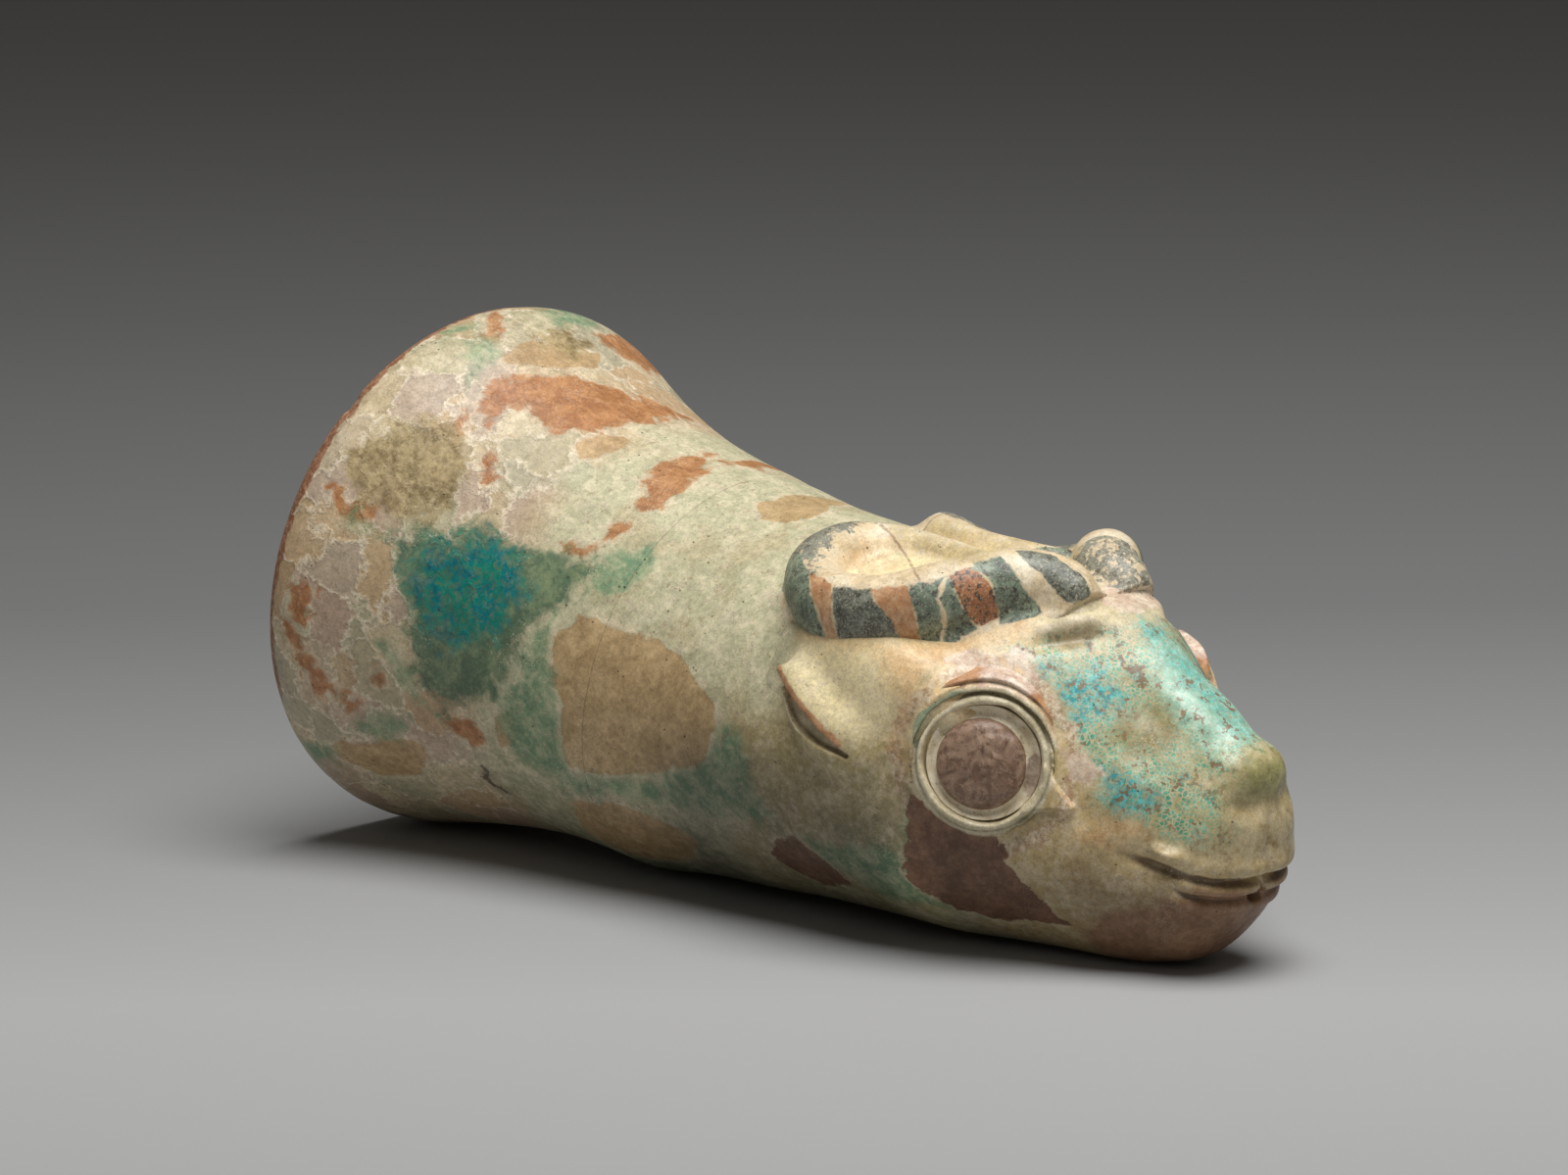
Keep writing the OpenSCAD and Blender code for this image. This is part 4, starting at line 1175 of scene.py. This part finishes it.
def clay_glaze(name, horn=False, lid=False):
    """The glazed clay; horn adds the bands of the horns, lid the tints of lids and ears and the painted shade
    in their grooves.
    """
    net = Net(name)
    mul, add, sub, step, mix, swing = net.mul, net.add, net.sub, net.step, net.mix, net.swing
    at = net.millimetres()
    big = net.grains(at, 14.0, 3.0)
    mid = net.grains(at, 4.2, 5.0, 0.6, 0.4)
    small = net.grains(at, 1.3, 4.0, 0.65)
    fine = net.grains(at, 0.42, 3.0, 0.7)

    def lay(share, tint):
        nonlocal colour
        colour = mix(share, colour, tint)

    # broad colour, mottled
    colour = net.field("zone", "Color")
    tone = add(mul(mid[0], 0.55), mul(small[0], 0.45))
    mottle = net.field("mottle")
    lay(step(tone, 0.42, 0.62, 0.0, 0.5), (226, 212, 184))
    lay(mul(mottle, step(big[1], 0.5, 0.7, 0.0, 0.45)), (178, 160, 122))
    lay(mul(mottle, step(mid[2], 0.55, 0.72, 0.0, 0.4)), (196, 176, 160))
    lay(mul(mottle, step(small[1], 0.56, 0.7, 0.0, 0.6)), (156, 134, 98))
    shift = net.node("ShaderNodeVectorMath", operation="MULTIPLY_ADD")
    net.feed(shift.inputs[0], net.joined(mid))
    shift.inputs[1].default_value = (9.0, 9.0, 9.0)
    net.feed(shift.inputs[2], at)
    flakes = net.cells(shift.outputs[0], 0.085, "F1")
    rims = net.cells(shift.outputs[0], 0.085)
    kind = net.node("ShaderNodeSeparateColor")
    net.feed(kind.inputs[0], flakes.outputs["Color"])
    crusty = net.field("crusty")
    lay(mul(crusty, step(kind.outputs[0], 0.55, 0.7, 0.0, 0.65)), (196, 164, 128))
    lay(mul(crusty, step(kind.outputs[1], 0.6, 0.75, 0.0, 0.6)), (184, 160, 146))
    lay(mul(crusty, step(kind.outputs[2], 0.68, 0.8, 0.0, 0.6)), (176, 174, 144))
    seam_lines = step(rims.outputs["Distance"], 0.0, 0.07, 0.9, 0.0)
    lay(mul(crusty, mul(seam_lines, step(small[0], 0.36, 0.6))), (236, 222, 196))
    height = mul(tone, 0.5)
    height = add(height, mul(crusty, step(rims.outputs["Distance"], 0.0, 0.1, 0.5, 0.0)))
    rough = step(tone, 0.3, 0.7, GLOSS + 0.12, GLOSS - 0.06)

    def edge(name, amp=1.7, soft=0.35):
        value = net.field(name)
        jag = swing(mid[1], amp * 4.2)
        jag = add(jag, swing(small[2], amp * 1.6))
        value = add(value, jag)
        return value, step(value, -soft, soft)

    def patch(name, one, two, share=1.0, amp=1.7, soft=0.35, rim=0.6, mottle=(0.4, 0.62), sink=0.0):
        nonlocal height
        value, mask = edge(name, amp, soft)
        if rim:
            near = step(net.math("ABSOLUTE", add(value, 0.6)), 0.0, 1.3, rim, 0.0)
            lay(mul(near, step(mid[0], 0.35, 0.6)), (226, 208, 180))
        tint = mix(step(tone, mottle[0], mottle[1]), one, two)
        lay(mul(mask, share), tint)
        if sink:
            height = sub(height, mul(mask, sink))
        return mask

    patch("tan", (178, 146, 104), (196, 166, 124), 0.85, 1.2, 0.3, 0.5, sink=0.12)
    patch("terra", (166, 108, 66), (188, 136, 94), 0.9, 2.2, 1.0, 0.5, sink=0.2)
    olive = patch("olive", (118, 98, 58), (172, 152, 112), 0.88, 2.6, 1.8, 0.0, (0.36, 0.58))
    patch("teal", (104, 144, 110), (164, 172, 136), 0.84, 2.4, 2.2, 0.0)
    patch("blue", (72, 104, 80), (114, 132, 98), 0.9, 3.0, 2.2, 0.0)
    core = edge("core", 3.6, 3.6)[1]
    depth = mul(core, step(small[1], 0.36, 0.56, 0.45, 1.0))
    lay(depth, mix(step(mid[2], 0.4, 0.6), (0, 114, 124), (24, 132, 116)))
    lay(mul(core, step(fine[1], 0.54, 0.64, 0.0, 0.8)), (84, 104, 62))
    cyan = edge("cyan", 2.4, 2.6)[1]
    crackle = net.cells(at, 1.15)
    scale = step(crackle.outputs["Distance"], 0.03, 0.2, 0.15, 1.0)
    glassy = mul(cyan, step(mid[0], 0.36, 0.56, 0.45, 0.95))
    pool = mix(step(mid[2], 0.38, 0.6), (64, 150, 124), (146, 200, 172))
    pool = mix(step(small[0], 0.44, 0.62, 0.0, 0.7), pool, (98, 168, 142))
    lay(mul(glassy, scale), pool)
    bright = edge("bright", 3.0, 3.4)[1]
    spots = mul(cyan, step(mid[1], 0.56, 0.66, 0.0, 0.6))
    blue = mul(net.math("MAXIMUM", bright, spots), step(small[2], 0.42, 0.56, 0.3, 0.95))
    lay(blue, mix(step(small[0], 0.42, 0.6), (20, 142, 150), (96, 196, 190)))
    # Pale cyan-white on the nose ridge: partly the glaze, partly a painted highlight.
    patch("ridge", (140, 200, 180), (192, 220, 200), 0.62, 3.4, 2.6, 0.0)
    glaze = net.math("MAXIMUM", net.math("MAXIMUM", cyan, core), bright)
    flecks = mul(edge("cyan", 3.5, 4.0)[1], step(add(mul(small[1], 0.5), mul(mid[1], 0.5)), 0.545, 0.575))
    lay(mul(flecks, 0.85), (132, 98, 70))
    ring_crust = step(add(net.field("socket"), swing(mid[1], 7.0)), -0.8, 0.8)
    lay(mul(ring_crust, 0.85), mix(step(small[0], 0.4, 0.6), (178, 146, 116), (228, 208, 180)))
    patch("hollow", (132, 112, 66), (158, 140, 90), 0.8, 1.6, 3.0, 0.0)
    patch("peach", (198, 154, 108), (214, 178, 132), 0.6, 1.6, 2.4, 0.0)
    patch("pink", (206, 178, 156), (224, 208, 186), 0.9, 2.0, 0.8, 0.0)
    patch("red", (118, 80, 58), (142, 102, 76), 0.95, 1.6, 0.3, 0.4, sink=0.15)
    patch("chin", (150, 106, 78), (168, 124, 94), 0.8, 1.2, 1.5, 0.0)
    patch("nose", (112, 118, 66), (146, 148, 92), 0.7, 2.2, 3.0, 0.0)
    patch("grime", (118, 100, 68), (178, 166, 134), 0.6, 3.4, 2.6, 0.0, (0.36, 0.5))
    # Painted shade in the brow groove.
    patch("dark", (74, 66, 42), (96, 84, 54), 0.6, 0.8, 1.6, 0.0)
    # Painted shade in the grooves of the mouth.
    mouth_line_shade = add(net.field("mouth_line_shade"), swing(small[2], 0.8))
    lay(step(mouth_line_shade, -0.2, 0.6, 0.0, 0.8), (82, 58, 38))
    # worn edge of the mouth
    wear = add(net.field("lip"), swing(mid[0], 5.0))
    worn = step(wear, -0.2, 0.3)
    lay(worn, mix(step(small[0], 0.4, 0.6), (138, 96, 72), (170, 130, 104)))
    # the drinking hollow
    hollow = net.field("inside")
    lay(mul(hollow, 0.9), mix(step(mid[0], 0.35, 0.65), (150, 132, 104), (196, 182, 150)))
    if horn:
        roll = net.field("roll")
        cream = mix(step(mid[1], 0.4, 0.62), (226, 206, 172), (242, 228, 200))
        cream = mix(step(big[0], 0.48, 0.66, 0.0, 0.7), cream, (214, 190, 150))
        cream = mix(step(small[1], 0.58, 0.7, 0.0, 0.6), cream, (172, 158, 128))
        lay(step(roll, -0.2, 0.5), cream)
        for field, one, two, share, low in (
            ("band_tan", (182, 132, 94), (204, 166, 130), 0.95, 0.2),
            ("band_orange", (150, 94, 62), (178, 122, 86), 0.97, 0.2),
            ("band_peach", (222, 190, 148), (234, 212, 176), 0.7, 1.5),
            ("band_olive", (160, 140, 84), (206, 186, 134), 0.6, 1.2),
            ("band_teal", (78, 100, 88), (128, 146, 124), 0.93, 0.3),
            ("band_dark", (66, 76, 70), (122, 128, 116), 0.93, 0.3),
            ("band_speckled", (92, 98, 92), (122, 128, 118), 0.85, 0.6),
        ):
            value = net.field(field)
            jag = swing(mid[1], 2.4 if low < 0.5 else 6.0)
            jag = add(jag, swing(small[2], 1.6 if low < 0.5 else 9.0))
            mask = step(add(value, jag), -low, low)
            tint = mix(step(tone, 0.4, 0.6), one, two)
            tint = mix(step(small[1], 0.5, 0.6, 0.0, 0.85), tint, (34, 40, 38))
            tint = mix(step(fine[0], 0.54, 0.62, 0.0, 0.65), tint, (184, 178, 158))
            if field in ("band_tan", "band_olive", "band_peach"):
                tint = mix(step(tone, 0.4, 0.6), one, two)
            lay(mul(mask, share), tint)
        fissure = add(net.field("floor_crack"), swing(small[2], 1.2))
        lay(step(fissure, 0.1, 0.4, 0.0, 0.7), (140, 112, 90))
    if lid:
        for field, one, two, share in (
            ("lid_cream", (206, 194, 160), (226, 214, 186), 0.95),
            ("lid_teal", (118, 138, 112), (160, 168, 138), 0.85),
            ("lid_orange", (178, 124, 88), (200, 154, 118), 0.9),
            ("lid_pink", (206, 176, 156), (230, 214, 196), 0.9),
        ):
            value = add(net.field(field), swing(mid[1], 4.0))
            mask = step(value, -0.8, 0.8)
            tint = mix(step(tone, 0.4, 0.6), one, two)
            lay(mul(mask, share), tint)
        # Painted shade: the grooves of the eye ring, the lid and the ear slit darkened, with speckles.
        groove = step(net.field("groove"), 0.0, 1.0)
        groove_shade = mul(groove, step(small[0], 0.35, 0.6, 0.35, 0.9))
        lay(groove_shade, (112, 104, 78))
    # cracks, pits and specks over everything
    line = step(add(net.field("crack"), mul(sub(small[0], 0.62), 6.0)), -0.3, 0.3, 0.0, 0.8)
    lay(line, (70, 56, 40))
    pits = net.cells(at, 0.5, "F1")
    pit = step(sub(pits.outputs["Distance"], step(mid[1], 0.44, 0.62, -0.16, 0.07)), 0.02, 0.09, 1.0, 0.0)
    lay(mul(pit, 0.8), (64, 54, 38))
    specks = step(mul(fine[2], step(mid[2], 0.4, 0.7, 0.75, 1.1)), 0.6, 0.68)
    lay(mul(specks, 0.55), (110, 92, 60))
    pale = step(mul(fine[0], step(big[2], 0.4, 0.7, 0.8, 1.12)), 0.6, 0.7)
    lay(mul(pale, 0.4), (236, 226, 204))
    value = add(step(small[2], 0.34, 0.66, 0.86, 1.1), step(fine[1], 0.34, 0.66, -0.12, 0.12))
    value = add(value, step(mid[0], 0.34, 0.66, -0.07, 0.08))
    # Painted shade and light: the 'shade' field darkens the underside and below the eye and lightens a spot
    # of the cheek.
    value = mul(value, net.field("shade"))
    shade = net.node("ShaderNodeHueSaturation")
    shade.inputs["Saturation"].default_value = 1.06
    net.feed(shade.inputs["Value"], value)
    net.feed(shade.inputs["Color"], colour)
    colour = shade.outputs[0]
    height = sub(height, mul(pit, 0.35))
    height = add(height, mul(fine[1], 0.1))
    height = add(height, mul(olive, mul(small[0], 0.35)))
    rough = sub(rough, mul(glaze, 0.1))
    rough = net.math("ADD", rough, mul(olive, 0.2), clamp=True)
    return net.glazed(colour, rough, height, 0.55, coat=0.12)


def eye_glaze(name, iris):
    """The pale pellet of the eye, or the brown disc on it."""
    net = Net(name)
    mul, add, sub, step, mix, swing = net.mul, net.add, net.sub, net.step, net.mix, net.swing
    at = net.millimetres()
    mid = net.grains(at, 3.4, 5.0, 0.62, 0.8)
    small = net.grains(at, 1.1, 4.0, 0.65)
    fine = net.grains(at, 0.4, 3.0, 0.7)

    def lay(share, tint):
        nonlocal colour
        colour = mix(share, colour, tint)

    if iris:
        colour = mix(step(mid[0], 0.38, 0.62), (120, 92, 74), (158, 130, 108))
        lay(step(small[0], 0.52, 0.66, 0.0, 0.7), (92, 66, 50))
        veins = step(net.math("ABSOLUTE", sub(mid[1], 0.5)), 0.0, 0.03, 0.5, 0.0)
        lay(mul(veins, step(small[2], 0.46, 0.62)), (190, 166, 142))
        lay(step(mid[2], 0.56, 0.7, 0.0, 0.6), (184, 158, 134))
    else:
        colour = mix(step(mid[0], 0.38, 0.62), (220, 204, 170), (240, 230, 204))
        lay(step(small[1], 0.56, 0.68, 0.0, 0.7), (164, 146, 108))
        chip = step(add(net.field("chip"), swing(small[0], 2.0)), -0.3, 0.3)
        lay(chip, mix(step(small[2], 0.4, 0.6), (158, 138, 120), (186, 168, 146)))
    lay(step(fine[0], 0.62, 0.7, 0.0, 0.5), (80, 62, 46))
    height = add(mul(mid[0], 0.5), mul(small[0], 0.3))
    height = add(height, mul(fine[1], 0.1))
    return net.glazed(colour, step(small[0], 0.3, 0.7, 0.5, 0.36), height, 0.6)


# ---------------------------------------------------------------- pieces
NOWHERE = -9.0  # the value of a field that covers no point of a piece


def finish_piece(obj, p, material, node, slot, inside=0.0, lip=-5.0):
    """Paint the fields of the skin, give the piece its material and body, and hide the CAD part named node;
    slot is not used.
    """
    paint_skin(obj, p)
    paint(obj, "lip", lip)
    paint(obj, "inside", inside)
    obj.data.materials.append(material)
    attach(obj, "root")
    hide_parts(node)


CUP_MAT = clay_glaze("cup_glaze")
HEAD_MAT = clay_glaze("head_glaze")
HORN_MAT = clay_glaze("horn_glaze", horn=True)
EAR_MAT = clay_glaze("ear_glaze", lid=True)
LID_MAT = clay_glaze("lid_glaze", lid=True)
RING_MAT = clay_glaze("ring_glaze", lid=True)
BALL_MAT = eye_glaze("eye_white", iris=False)
IRIS_MAT = eye_glaze("iris_glaze", iris=True)

points, quads = cup_shape()
cup = build("cup", points, quads)
s_at, angle_at = polar(points)
radius = np.hypot(points[:, 1], points[:, 2])
cup_inside = ((radius < through(LIP_ROWS, np.clip(s_at, 0, 80))[:, 1] - 2.4) & (s_at > 1)).astype(float)
edge_width = 1.4 + 1.3 * np.cos(np.radians(angle_at - 60)) + 0.9 * noise(points, 9, 2)
finish_piece(cup, points, CUP_MAT, "cup_body", "cup_glaze", cup_inside, edge_width + 0.8 - s_at)

points, quads, tris = head_shape()
head = build("head", points, quads, tris)
head_inside = np.zeros(len(points))
head_inside[:(HOLLOW_ROWS + 3) * len(HEAD_TURNS)] = 1  # the hollow and three rings of the socket
finish_piece(head, points, HEAD_MAT, "head", "head_glaze", head_inside)

# Bands of the near horn as seen from the camera, drawn over an enlarged detail of the
# picture: its left and top edge in the picture, and how much it is enlarged
DETAIL = (760.0, 500.0, 2.703)
BANDS = {
    "band_tan": [
        [(343, 275), (400, 265), (450, 262), (455, 290), (470, 340), (480, 400), (500, 445), (440, 455),
         (420, 400), (390, 350),
         (360, 310)],
        [(178, 228), (200, 238), (240, 262), (240, 340), (250, 395), (268, 440), (228, 432), (215, 370),
         (195, 320), (180, 280)],
    ],
    "band_orange": [
        [(562, 238), (618, 213), (655, 230), (680, 262), (700, 330), (700, 352), (640, 375), (610, 345),
         (590, 300), (575, 265)],
    ],
    "band_teal": [
        [(618, 213), (700, 184), (728, 205), (770, 270), (822, 335), (790, 356), (705, 374), (700, 330),
         (680, 260), (655, 230)],
        [(450, 260), (520, 252), (562, 238), (575, 265), (590, 300), (612, 345), (645, 385), (560, 430),
         (500, 450), (480, 400),
         (470, 340), (455, 290)],
        [(112, 185), (150, 165), (178, 228), (182, 290), (200, 340), (215, 380), (230, 435), (185, 425),
         (140, 370), (112, 300),
         (100, 230)],
    ],
    "band_dark": [
        [(745, 163), (800, 146), (862, 150), (905, 185), (950, 235), (985, 285), (925, 308), (888, 310),
         (850, 270), (800, 215)],
        [(240, 268), (343, 273), (360, 310), (392, 350), (425, 400), (440, 450), (350, 462), (280, 450),
         (255, 400), (240, 340)],
    ],
    "band_speckled": [
        [(105, 185), (130, 130), (190, 80), (262, 58), (330, 55), (390, 72), (300, 104), (240, 130),
         (215, 155), (200, 195),
         (178, 228), (150, 168)],
    ],
    "band_peach": [[(262, 190), (330, 150), (385, 150), (420, 205), (380, 245), (300, 248)]],
    "band_olive": [[(405, 110), (450, 102), (520, 130), (600, 155), (705, 160), (650, 188), (560, 196),
                    (480, 172), (430, 142)]],
}
CREAM_LINE = [(552, 245), (535, 300), (552, 350), (540, 430)]
FLOOR_CRACK = [(375, 95), (410, 130), (450, 190), (482, 248)]


def paint_horn(obj, points, roll, side):
    """The bands of a horn, laid on it as the camera sees them."""
    d, at, turn = roll
    phi = turn % 360
    seen = seen_at(mirrored(points))
    x = (seen[:, 0] - DETAIL[0]) * DETAIL[2]
    y = (seen[:, 1] - DETAIL[1]) * DETAIL[2]
    scale = 13.7  # pixels of the enlarged detail in a millimetre
    reach = 0.9 + 1.6 * smooth(phi, 130, 175) * (1 - smooth(phi, 300, 330))
    near_roll = (reach - d) * 3
    paint(obj, "roll", reach - d)
    for name, lines in BANDS.items():
        lines = [[(a / scale, b / scale) for a, b in line] for line in lines]
        value = patch_field(x / scale, y / scale, lines)
        if name == "band_teal":
            value = np.minimum(value, near_line(np.stack([x, y], -1), CREAM_LINE)[0] / scale - 0.35)
        if side > 0 and name == "band_dark":
            value = np.where(at < 3.4, NOWHERE, value)
        if side > 0 and name == "band_speckled":
            top = (at > 5) & (at < 11.5) & (phi > 35) & (phi < 120)
            value = np.maximum(value, np.where(at < 2.6, 0.4, np.where(top, 0.8, NOWHERE)))
        if name not in ("band_peach", "band_olive"):
            value = np.minimum(value, near_roll)
        if name in ("band_tan", "band_orange", "band_teal", "band_dark"):
            value = np.minimum(value, np.minimum(phi - 82, 290 - phi) * 0.15)
        paint(obj, name, value)
    crack = near_line(np.stack([x, y], -1), FLOOR_CRACK)[0] / scale
    paint(obj, "floor_crack", 0.5 - crack)


for side, word in ((-1, "right"), (1, "left")):
    points, quads, roll = horn_shape(side)
    local = points
    points, quads, tris = on_side(points, quads, None, side)
    horn = build("horn_" + word, points, quads)
    paint_horn(horn, local, roll, side)
    finish_piece(horn, points, HORN_MAT, "horn_" + word, "horn_glaze")

    points, quads = ear_shape(side)
    in_slit, along = near_line(points * [1, 0, 1], np.array(EAR_SLIT) * [1, 0, 1])
    swell = np.sin(math.pi * np.clip(along, 0.03, 0.97))
    over = head_distance(points)
    outside = in_slit - 0.4 - 1.7 * swell
    higher = np.where(points[:, 2] > np.interp(points[:, 0], *np.array(EAR_SLIT).T[[0, 2]]), 1.0, 0.0)
    points, quads, tris = on_side(points, quads, None, side)
    ear = build("ear_" + word, points, quads)
    paint(ear, "lid_cream", np.minimum(-outside, 0.6) * 4)
    paint(ear, "lid_teal", NOWHERE)
    paint(ear, "lid_pink", NOWHERE)
    paint(ear, "lid_orange",
          np.where(higher * (along < 0.96) > 0, 2.4 - 2.6 * np.abs(outside - 0.5), NOWHERE))
    # Where painted shade darkens the edge of the slit.
    paint(ear, "groove", np.clip(1 - np.abs(outside + 0.25) / 0.55, 0, 1) * smooth(over, 0, 0.8) * 0.9)
    finish_piece(ear, points, EAR_MAT, "ear_" + word, "ear_glaze")

    (ring_p, ring_q), (lid_p, lid_q) = eye_parts(side)
    for name, points, quads, mat, slot in (
        ("eye_ring_", ring_p, ring_q, RING_MAT, "ring_glaze"),
        ("upper_lid_", lid_p, lid_q, LID_MAT, "lid_glaze"),
    ):
        local = to_eye(points)
        r, a = np.hypot(local[:, 0], local[:, 1]), np.degrees(np.arctan2(local[:, 1], local[:, 0]))
        points, quads, tris = on_side(points, quads, None, side)
        obj = build(name + word, points, quads)
        on = 2.5 - np.maximum(0, r - 17)
        if name == "eye_ring_":
            paint(obj, "lid_cream", np.where(r < 13.6, 3, 13.9 - r))
            paint(obj, "lid_orange", NOWHERE)
            paint(obj, "lid_pink", NOWHERE)
            paint(obj, "lid_teal", np.where(r < 12.6, -6, 3 - np.abs(a - 165) * 0.1))
            groove = 0.8 - np.abs(r - 12.9) / 0.6
        else:
            paint(obj, "lid_cream", np.minimum(15.4 - r, on))
            paint(obj, "lid_teal", np.minimum(5 - np.abs(a - 150) * 0.15, on))
            above = np.minimum(on, r - 14.7)
            orange = 4 - np.minimum(np.abs(a - 112), np.abs(a - 55)) * 0.2
            paint(obj, "lid_orange", np.minimum(orange, above))
            paint(obj, "lid_pink", np.minimum(4 - np.abs(a - 84) * 0.2, above))
            groove = 1 - np.minimum(np.abs(r - 13.5) / 0.5, np.abs(r - 15.2) / 0.45)
        # Where painted shade darkens the grooves of the ring and the lid.
        paint(obj, "groove", np.clip(groove, 0, 1))
        finish_piece(obj, points, mat, name + word, slot)

    for name, (points, quads, tris), mat, slot in zip(
        ("eyeball_", "iris_"), ball_shape(side), (BALL_MAT, IRIS_MAT), ("eye_white", "iris_glaze")
    ):
        local = to_eye(points)
        points, quads, tris = on_side(points, quads, tris, side)
        obj = build(name + word, points, quads, tris)
        chip = 2.6 - np.hypot((local[:, 0] - 9.8) / 0.8, (local[:, 1] + 0.2) / 1.6)
        paint(obj, "chip", chip if side < 0 else NOWHERE)
        obj.data.materials.append(mat)
        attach(obj, "root")
        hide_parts(name + word)


# ---------------------------------------------------------------- floor, light and camera
# The floor's grey goes by how far below the horizon a point of it is seen in the photo
# Painted light and shade: these greys are not the floor's own colour; lighter far off and near and darker
# between, they shape how the floor's brightness falls off into the distance under the lamps.
FLOOR_GREYS = [(0.0, 165), (0.19, 154), (0.27, 142), (0.355, 131), (0.45, 127), (0.525, 127), (0.6, 142),
               (0.67, 155), (0.76, 169), (0.87, 160)]
FLOOR_HALF = 14  # metres

eye_at = place(CAMERA_AT)
net = Net("studio_floor")
geo = net.node("ShaderNodeNewGeometry")
ahead = place(CAMERA_TO) - eye_at
flat = Vector((ahead[0], ahead[1], 0)).normalized()
off = net.node("ShaderNodeVectorMath", operation="SUBTRACT")
net.feed(off.inputs[0], geo.outputs["Position"])
off.inputs[1].default_value = (eye_at[0], eye_at[1], 0)
dot = net.node("ShaderNodeVectorMath", operation="DOT_PRODUCT")
net.feed(dot.inputs[0], off.outputs[0])
dot.inputs[1].default_value = flat
drop = net.math("DIVIDE", float(eye_at[2]), net.math("MAXIMUM", dot.outputs["Value"], 0.2))
ramp = net.node("ShaderNodeValToRGB")
net.feed(ramp.inputs[0], net.mul(drop, 3.0))
while len(ramp.color_ramp.elements) < len(FLOOR_GREYS):
    ramp.color_ramp.elements.new(0.5)
for element, (where, grey) in zip(ramp.color_ramp.elements, FLOOR_GREYS):
    element.position = where
    element.color = (*linear((grey, grey, grey)), 1)
net.surface(ramp.outputs[0], 0.7, 0.2)

mesh = bpy.data.meshes.new("studio_floor")
corners = [(x * FLOOR_HALF, y * FLOOR_HALF, 0) for x, y in ((-1, -1), (1, -1), (1, 1), (-1, 1))]
mesh.from_pydata(corners, [], [(0, 1, 2, 3)])
floor = bpy.data.objects.new("studio_floor", mesh)
bpy.context.scene.collection.objects.link(floor)
mesh.materials.append(net.material)


def lamp(name, at, to, size, power):
    """A round lamp at a place, turned to another; its size in metres and power in watts."""
    data = bpy.data.lights.new(name, "AREA")
    data.shape = "DISK"
    data.size = size
    data.energy = power
    obj = bpy.data.objects.new(name, data)
    obj.location = at
    obj.rotation_euler = (Vector(to) - Vector(at)).to_track_quat("-Z", "Y").to_euler()
    bpy.context.scene.collection.objects.link(obj)


HEART = (0, 0, 0.05)  # the middle of the cup, at which the lamps aim
lamp("overhead", (0.32, -0.12, 1.25), HEART, 1.0, 20.5)
lamp("front_fill", (0.8, -1.3, 1.0), HEART, 0.8, 1.0)

world = bpy.data.worlds.new("studio")
world.use_nodes = True
sky = world.node_tree.nodes["Background"]
sky.inputs["Color"].default_value = (0.82, 0.78, 0.7, 1)
sky.inputs["Strength"].default_value = 0.1
bpy.context.scene.world = world

camera_data = bpy.data.cameras.new("camera")
camera_data.sensor_width = 36
camera_data.lens = FOCAL / 1600 * camera_data.sensor_width
camera_data.clip_end = 60
camera = bpy.data.objects.new("camera", camera_data)


def turned(v):
    """A direction of the cup's frame, laid down as place() does."""
    return Vector((v[0] * COS_T + v[2] * SIN_T, v[1], -v[0] * SIN_T + v[2] * COS_T))


right, up, back = turned(RIGHT), turned(UPWARD), -turned(AHEAD)
rotation = Matrix((right, up, back)).transposed().to_4x4()
camera.matrix_world = Matrix.Translation(Vector(eye_at)) @ rotation
bpy.context.scene.collection.objects.link(camera)
bpy.context.scene.camera = camera
bpy.context.scene.view_settings.view_transform = "Standard"
